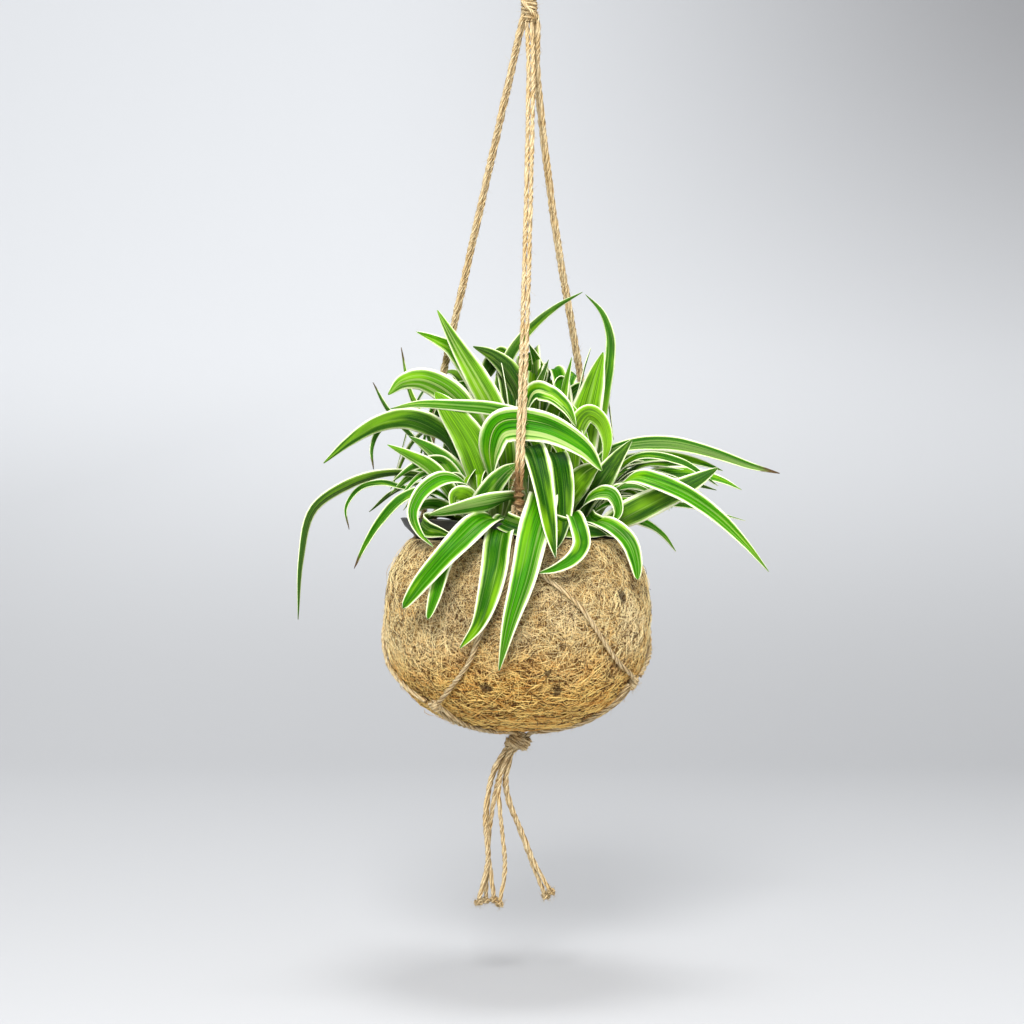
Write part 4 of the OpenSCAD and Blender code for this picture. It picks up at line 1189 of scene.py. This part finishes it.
def makeLeafPattern():     # the stripes, margins and veins that both faces of a leaf share
    outputs = {"Color": "Color", "Veins": "Float", "Dryness": "Float"}
    group, result = newGroup("leafPattern", outputs)
    group.interface.new_socket("Paleness", in_out="INPUT", socket_type="NodeSocketFloat")
    paleness = newNode(group, "NodeGroupInput").outputs["Paleness"]
    across, along = split(group, readMap(group, "leafMap"))[:2]
    look = newNode(group, "ShaderNodeAttribute", attribute_name="leafLook")
    channels = newNode(group, "ShaderNodeSeparateColor", {0: look.outputs["Color"]})
    margin, stripes, tone = channels.outputs
    where = (across, along, tone)
    middled = mathNode(group, "ABSOLUTE", mathNode(group, "MULTIPLY_ADD", across, 2.0, -1.0))
    fromEdge = mathNode(group, "SUBTRACT", 1.0, middled)
    broad = streaks(group, where, 9, 0.8, 90, 2)
    veins = streaks(group, where, 30, 1.6, 130, 2)
    fine = streaks(group, where, 95, 4, 60, 1)
    # painted shade and painted highlights: broad darker and lighter streaks along each leaf
    shadeStreaks = streaks(group, where, 1.4, 3.2, 71, 2)
    highlightStreaks = streaks(group, where, 1.6, 2.6, 37, 2)
    wander = mathNode(group, "MULTIPLY_ADD", streaks(group, where, 3, 9, 45, 3), 0.22, -0.11)
    border = plus(group, plus(group, margin, wander), mathNode(group, "MULTIPLY_ADD", veins, 0.2, -0.1))
    inner = mathNode(group, "SUBTRACT", fromEdge, border)
    tip = mathNode(group, "MULTIPLY_ADD", streaks(group, where, 4, 26, 31, 3), 0.14, -0.07)
    dryness = times(group, spread(group, plus(group, along, tip), 0.88, 0.96), look.outputs["Alpha"])
    ribLine = mathNode(group, "ABSOLUTE", mathNode(group, "SUBTRACT", across, 0.5))
    green = mixColor(group, spread(group, tone, 0.05, 0.6), (4, 44, 0), (52, 132, 0))
    cream = mixColor(group, fine, (226, 234, 186), (250, 250, 222))
    color = layered(group, green, (spread(group, tone, 0.6, 1.0), (142, 194, 6)),
                    (spread(group, veins, 0.4, 0.6, 0, 0.75), (8, 62, 0)),
                    (spread(group, fine, 0.5, 0.7, 0, 0.45), (112, 178, 18)),
                    # painted shade streaks, then painted highlight streaks
                    (spread(group, shadeStreaks, 0.5, 0.68, 0, 0.6), (10, 66, 0)),
                    (spread(group, highlightStreaks, 0.52, 0.7, 0, 0.5), (140, 196, 20)),
                    (times(group, spread(group, broad, 0.56, 0.62), stripes), (212, 228, 142)),
                    (spread(group, inner, 0.2, 0.0, 0, 0.8), (176, 210, 108)),
                    (spread(group, inner, 0.03, -0.03), cream),
                    (spread(group, along, 0.24, 0.06, 0, 0.75), (206, 220, 150)),     # pale towards the crown
                    (spread(group, ribLine, 0.03, 0.0, 0, 0.3), (60, 110, 34)),
                    (dryness, (84, 64, 42)), (paleness, (190, 208, 140)))
    group.links.new(color, result.inputs["Color"])
    group.links.new(plus(group, veins, times(group, fine, 0.6)), result.inputs["Veins"])
    group.links.new(dryness, result.inputs["Dryness"])
    return group


def makeLeafMaterial(name, paleness, roughness):
    mat, tree, shader = newMaterial(name, roughness, 0.05)
    pattern = newNode(tree, "ShaderNodeGroup", {"Paleness": paleness}, node_tree=leafPattern)
    color, veins, dryness = pattern.outputs
    tree.links.new(spread(tree, dryness, 0, 1, roughness, 0.85), shader.inputs["Roughness"])
    shader.inputs["Subsurface Weight"].default_value = 0.04
    shader.inputs["Subsurface Radius"].default_value = (0.5, 1.0, 0.15)
    shader.inputs["Subsurface Scale"].default_value = 0.0015
    paint(tree, shader, color, veins, 0.45, 0.00025)
    return mat


def makeLeaves():
    rng = np.random.default_rng(leafShape["seed"])
    rows = [(node, *leaf) for node, group in leaves.items() for leaf in group]
    rows += [backLeaf(i) for i in range(leafShape["backLeaves"])]
    rows += [tuftLeaf(row, k) for row in tufts for k in range(row[4])]
    rows += [rimLeaf(*row) for row in rimLeaves]
    for node in sorted({row[0] for row in rows}):
        blades = [makeLeaf(*row[1:], rng) for row in rows if row[0] == node]
        settle(join(blades, node.replace("leaves", "blades").replace("leaf", "blade")), node)


leafPattern = makeLeafPattern()
leafFace = makeLeafMaterial("leafFace", 0.0, 0.4)
leafBack = makeLeafMaterial("leafBack", 0.03, 0.5)
makeLeaves()
print("leaves made")

crown = {"radius": 13, "thickness": 6.5, "sunk": -2.5, "sheaths": 15, "height": 11, "top": 5.8, "seed": 8}


def makeSheathMaterial():
    mat, tree, shader = newMaterial("paleSheath", 0.5, 0.4)
    where = objectPlace(tree)
    lines = noiseNode(tree, stretch(tree, where, 0.12), 900, 3)
    color = mixColor(tree, spread(tree, lines, 0.35, 0.65), (176, 196, 116), (228, 230, 178))
    low = spread(tree, split(tree, where)[2], rimPlace[2] + 4 * mm, rimPlace[2] - 3 * mm)
    shader.inputs["Subsurface Weight"].default_value = 0.1
    shader.inputs["Subsurface Scale"].default_value = 0.002
    paint(tree, shader, mixColor(tree, times(tree, low, 0.7), color, (150, 116, 74)), lines, 0.4, 0.0003)
    return mat


def makeStub(x, y, k, rng):     # the stub of an old leaf base
    a = 2.4 * k
    out = crown["radius"] * 0.95 * math.sqrt((k + 0.5) / crown["sheaths"])
    bpy.ops.mesh.primitive_cylinder_add(vertices=14, radius=1, depth=2, end_fill_type="TRIFAN")
    stub = bpy.context.object
    editWhole((bpy.ops.mesh.subdivide, {"number_cuts": 3}))
    co = pointsOf(stub)
    up = (co[:, 2] + 1) / 2
    tall = crown["height"] * rng.uniform(0.55, 1)
    narrow = 1 - 0.5 * up
    thick, wide = 1.5 * narrow, rng.uniform(2.6, 3.8) * narrow
    depth = co[:, 1] * thick + 1.4 * up * up - 0.12 * (co[:, 0] * wide) ** 2
    turn = np.array([[math.cos(a), math.sin(a), 0], [-math.sin(a), math.cos(a), 0], [0, 0, 1]])
    place = np.stack([depth, co[:, 0] * wide, up * tall], 1) @ turn
    place = place + [x + out * math.cos(a), y + out * math.sin(a), -5]
    place[:, 2] = np.minimum(place[:, 2], crown["top"])
    movePoints(stub, atRim(place))
    return stub


def makeCrown(name, centres, rng):     # a lumpy dome for each clump, with stubs round and over it
    parts = []
    for x, y in centres:
        deselectAll()
        bpy.ops.mesh.primitive_uv_sphere_add(segments=40, ring_count=20, radius=1)
        dome = bpy.context.object
        co = pointsOf(dome)
        lumps = 1 + 0.1 * np.sin(7 * np.arctan2(co[:, 1], co[:, 0]) + x) * (1 - co[:, 2] ** 2)
        size = [crown["radius"], crown["radius"], crown["thickness"]]
        movePoints(dome, atRim(co * size * lumps[:, None] + [x, y, crown["sunk"]]))
        parts.append(dome)
        parts += [makeStub(x, y, k, rng) for k in range(crown["sheaths"])]
    piece = join(parts, name.replace("crown", "crown_base"))
    editWhole(faceOutward)
    bpy.ops.object.shade_smooth()
    wear(piece, sheathMaterial)
    settle(piece, name)


sheathMaterial = makeSheathMaterial()
crownRandom = np.random.default_rng(crown["seed"])
makeCrown("left_crown", [(-21, -1)], crownRandom)
makeCrown("middle_crown", [(6.7, -1)], crownRandom)
makeCrown("right_crown", [(41, -2)], crownRandom)
makeCrown("back_crown", [(-14, 30), (22, 28)], crownRandom)
print("crowns made")

bpy.data.objects.remove(plyOutline)
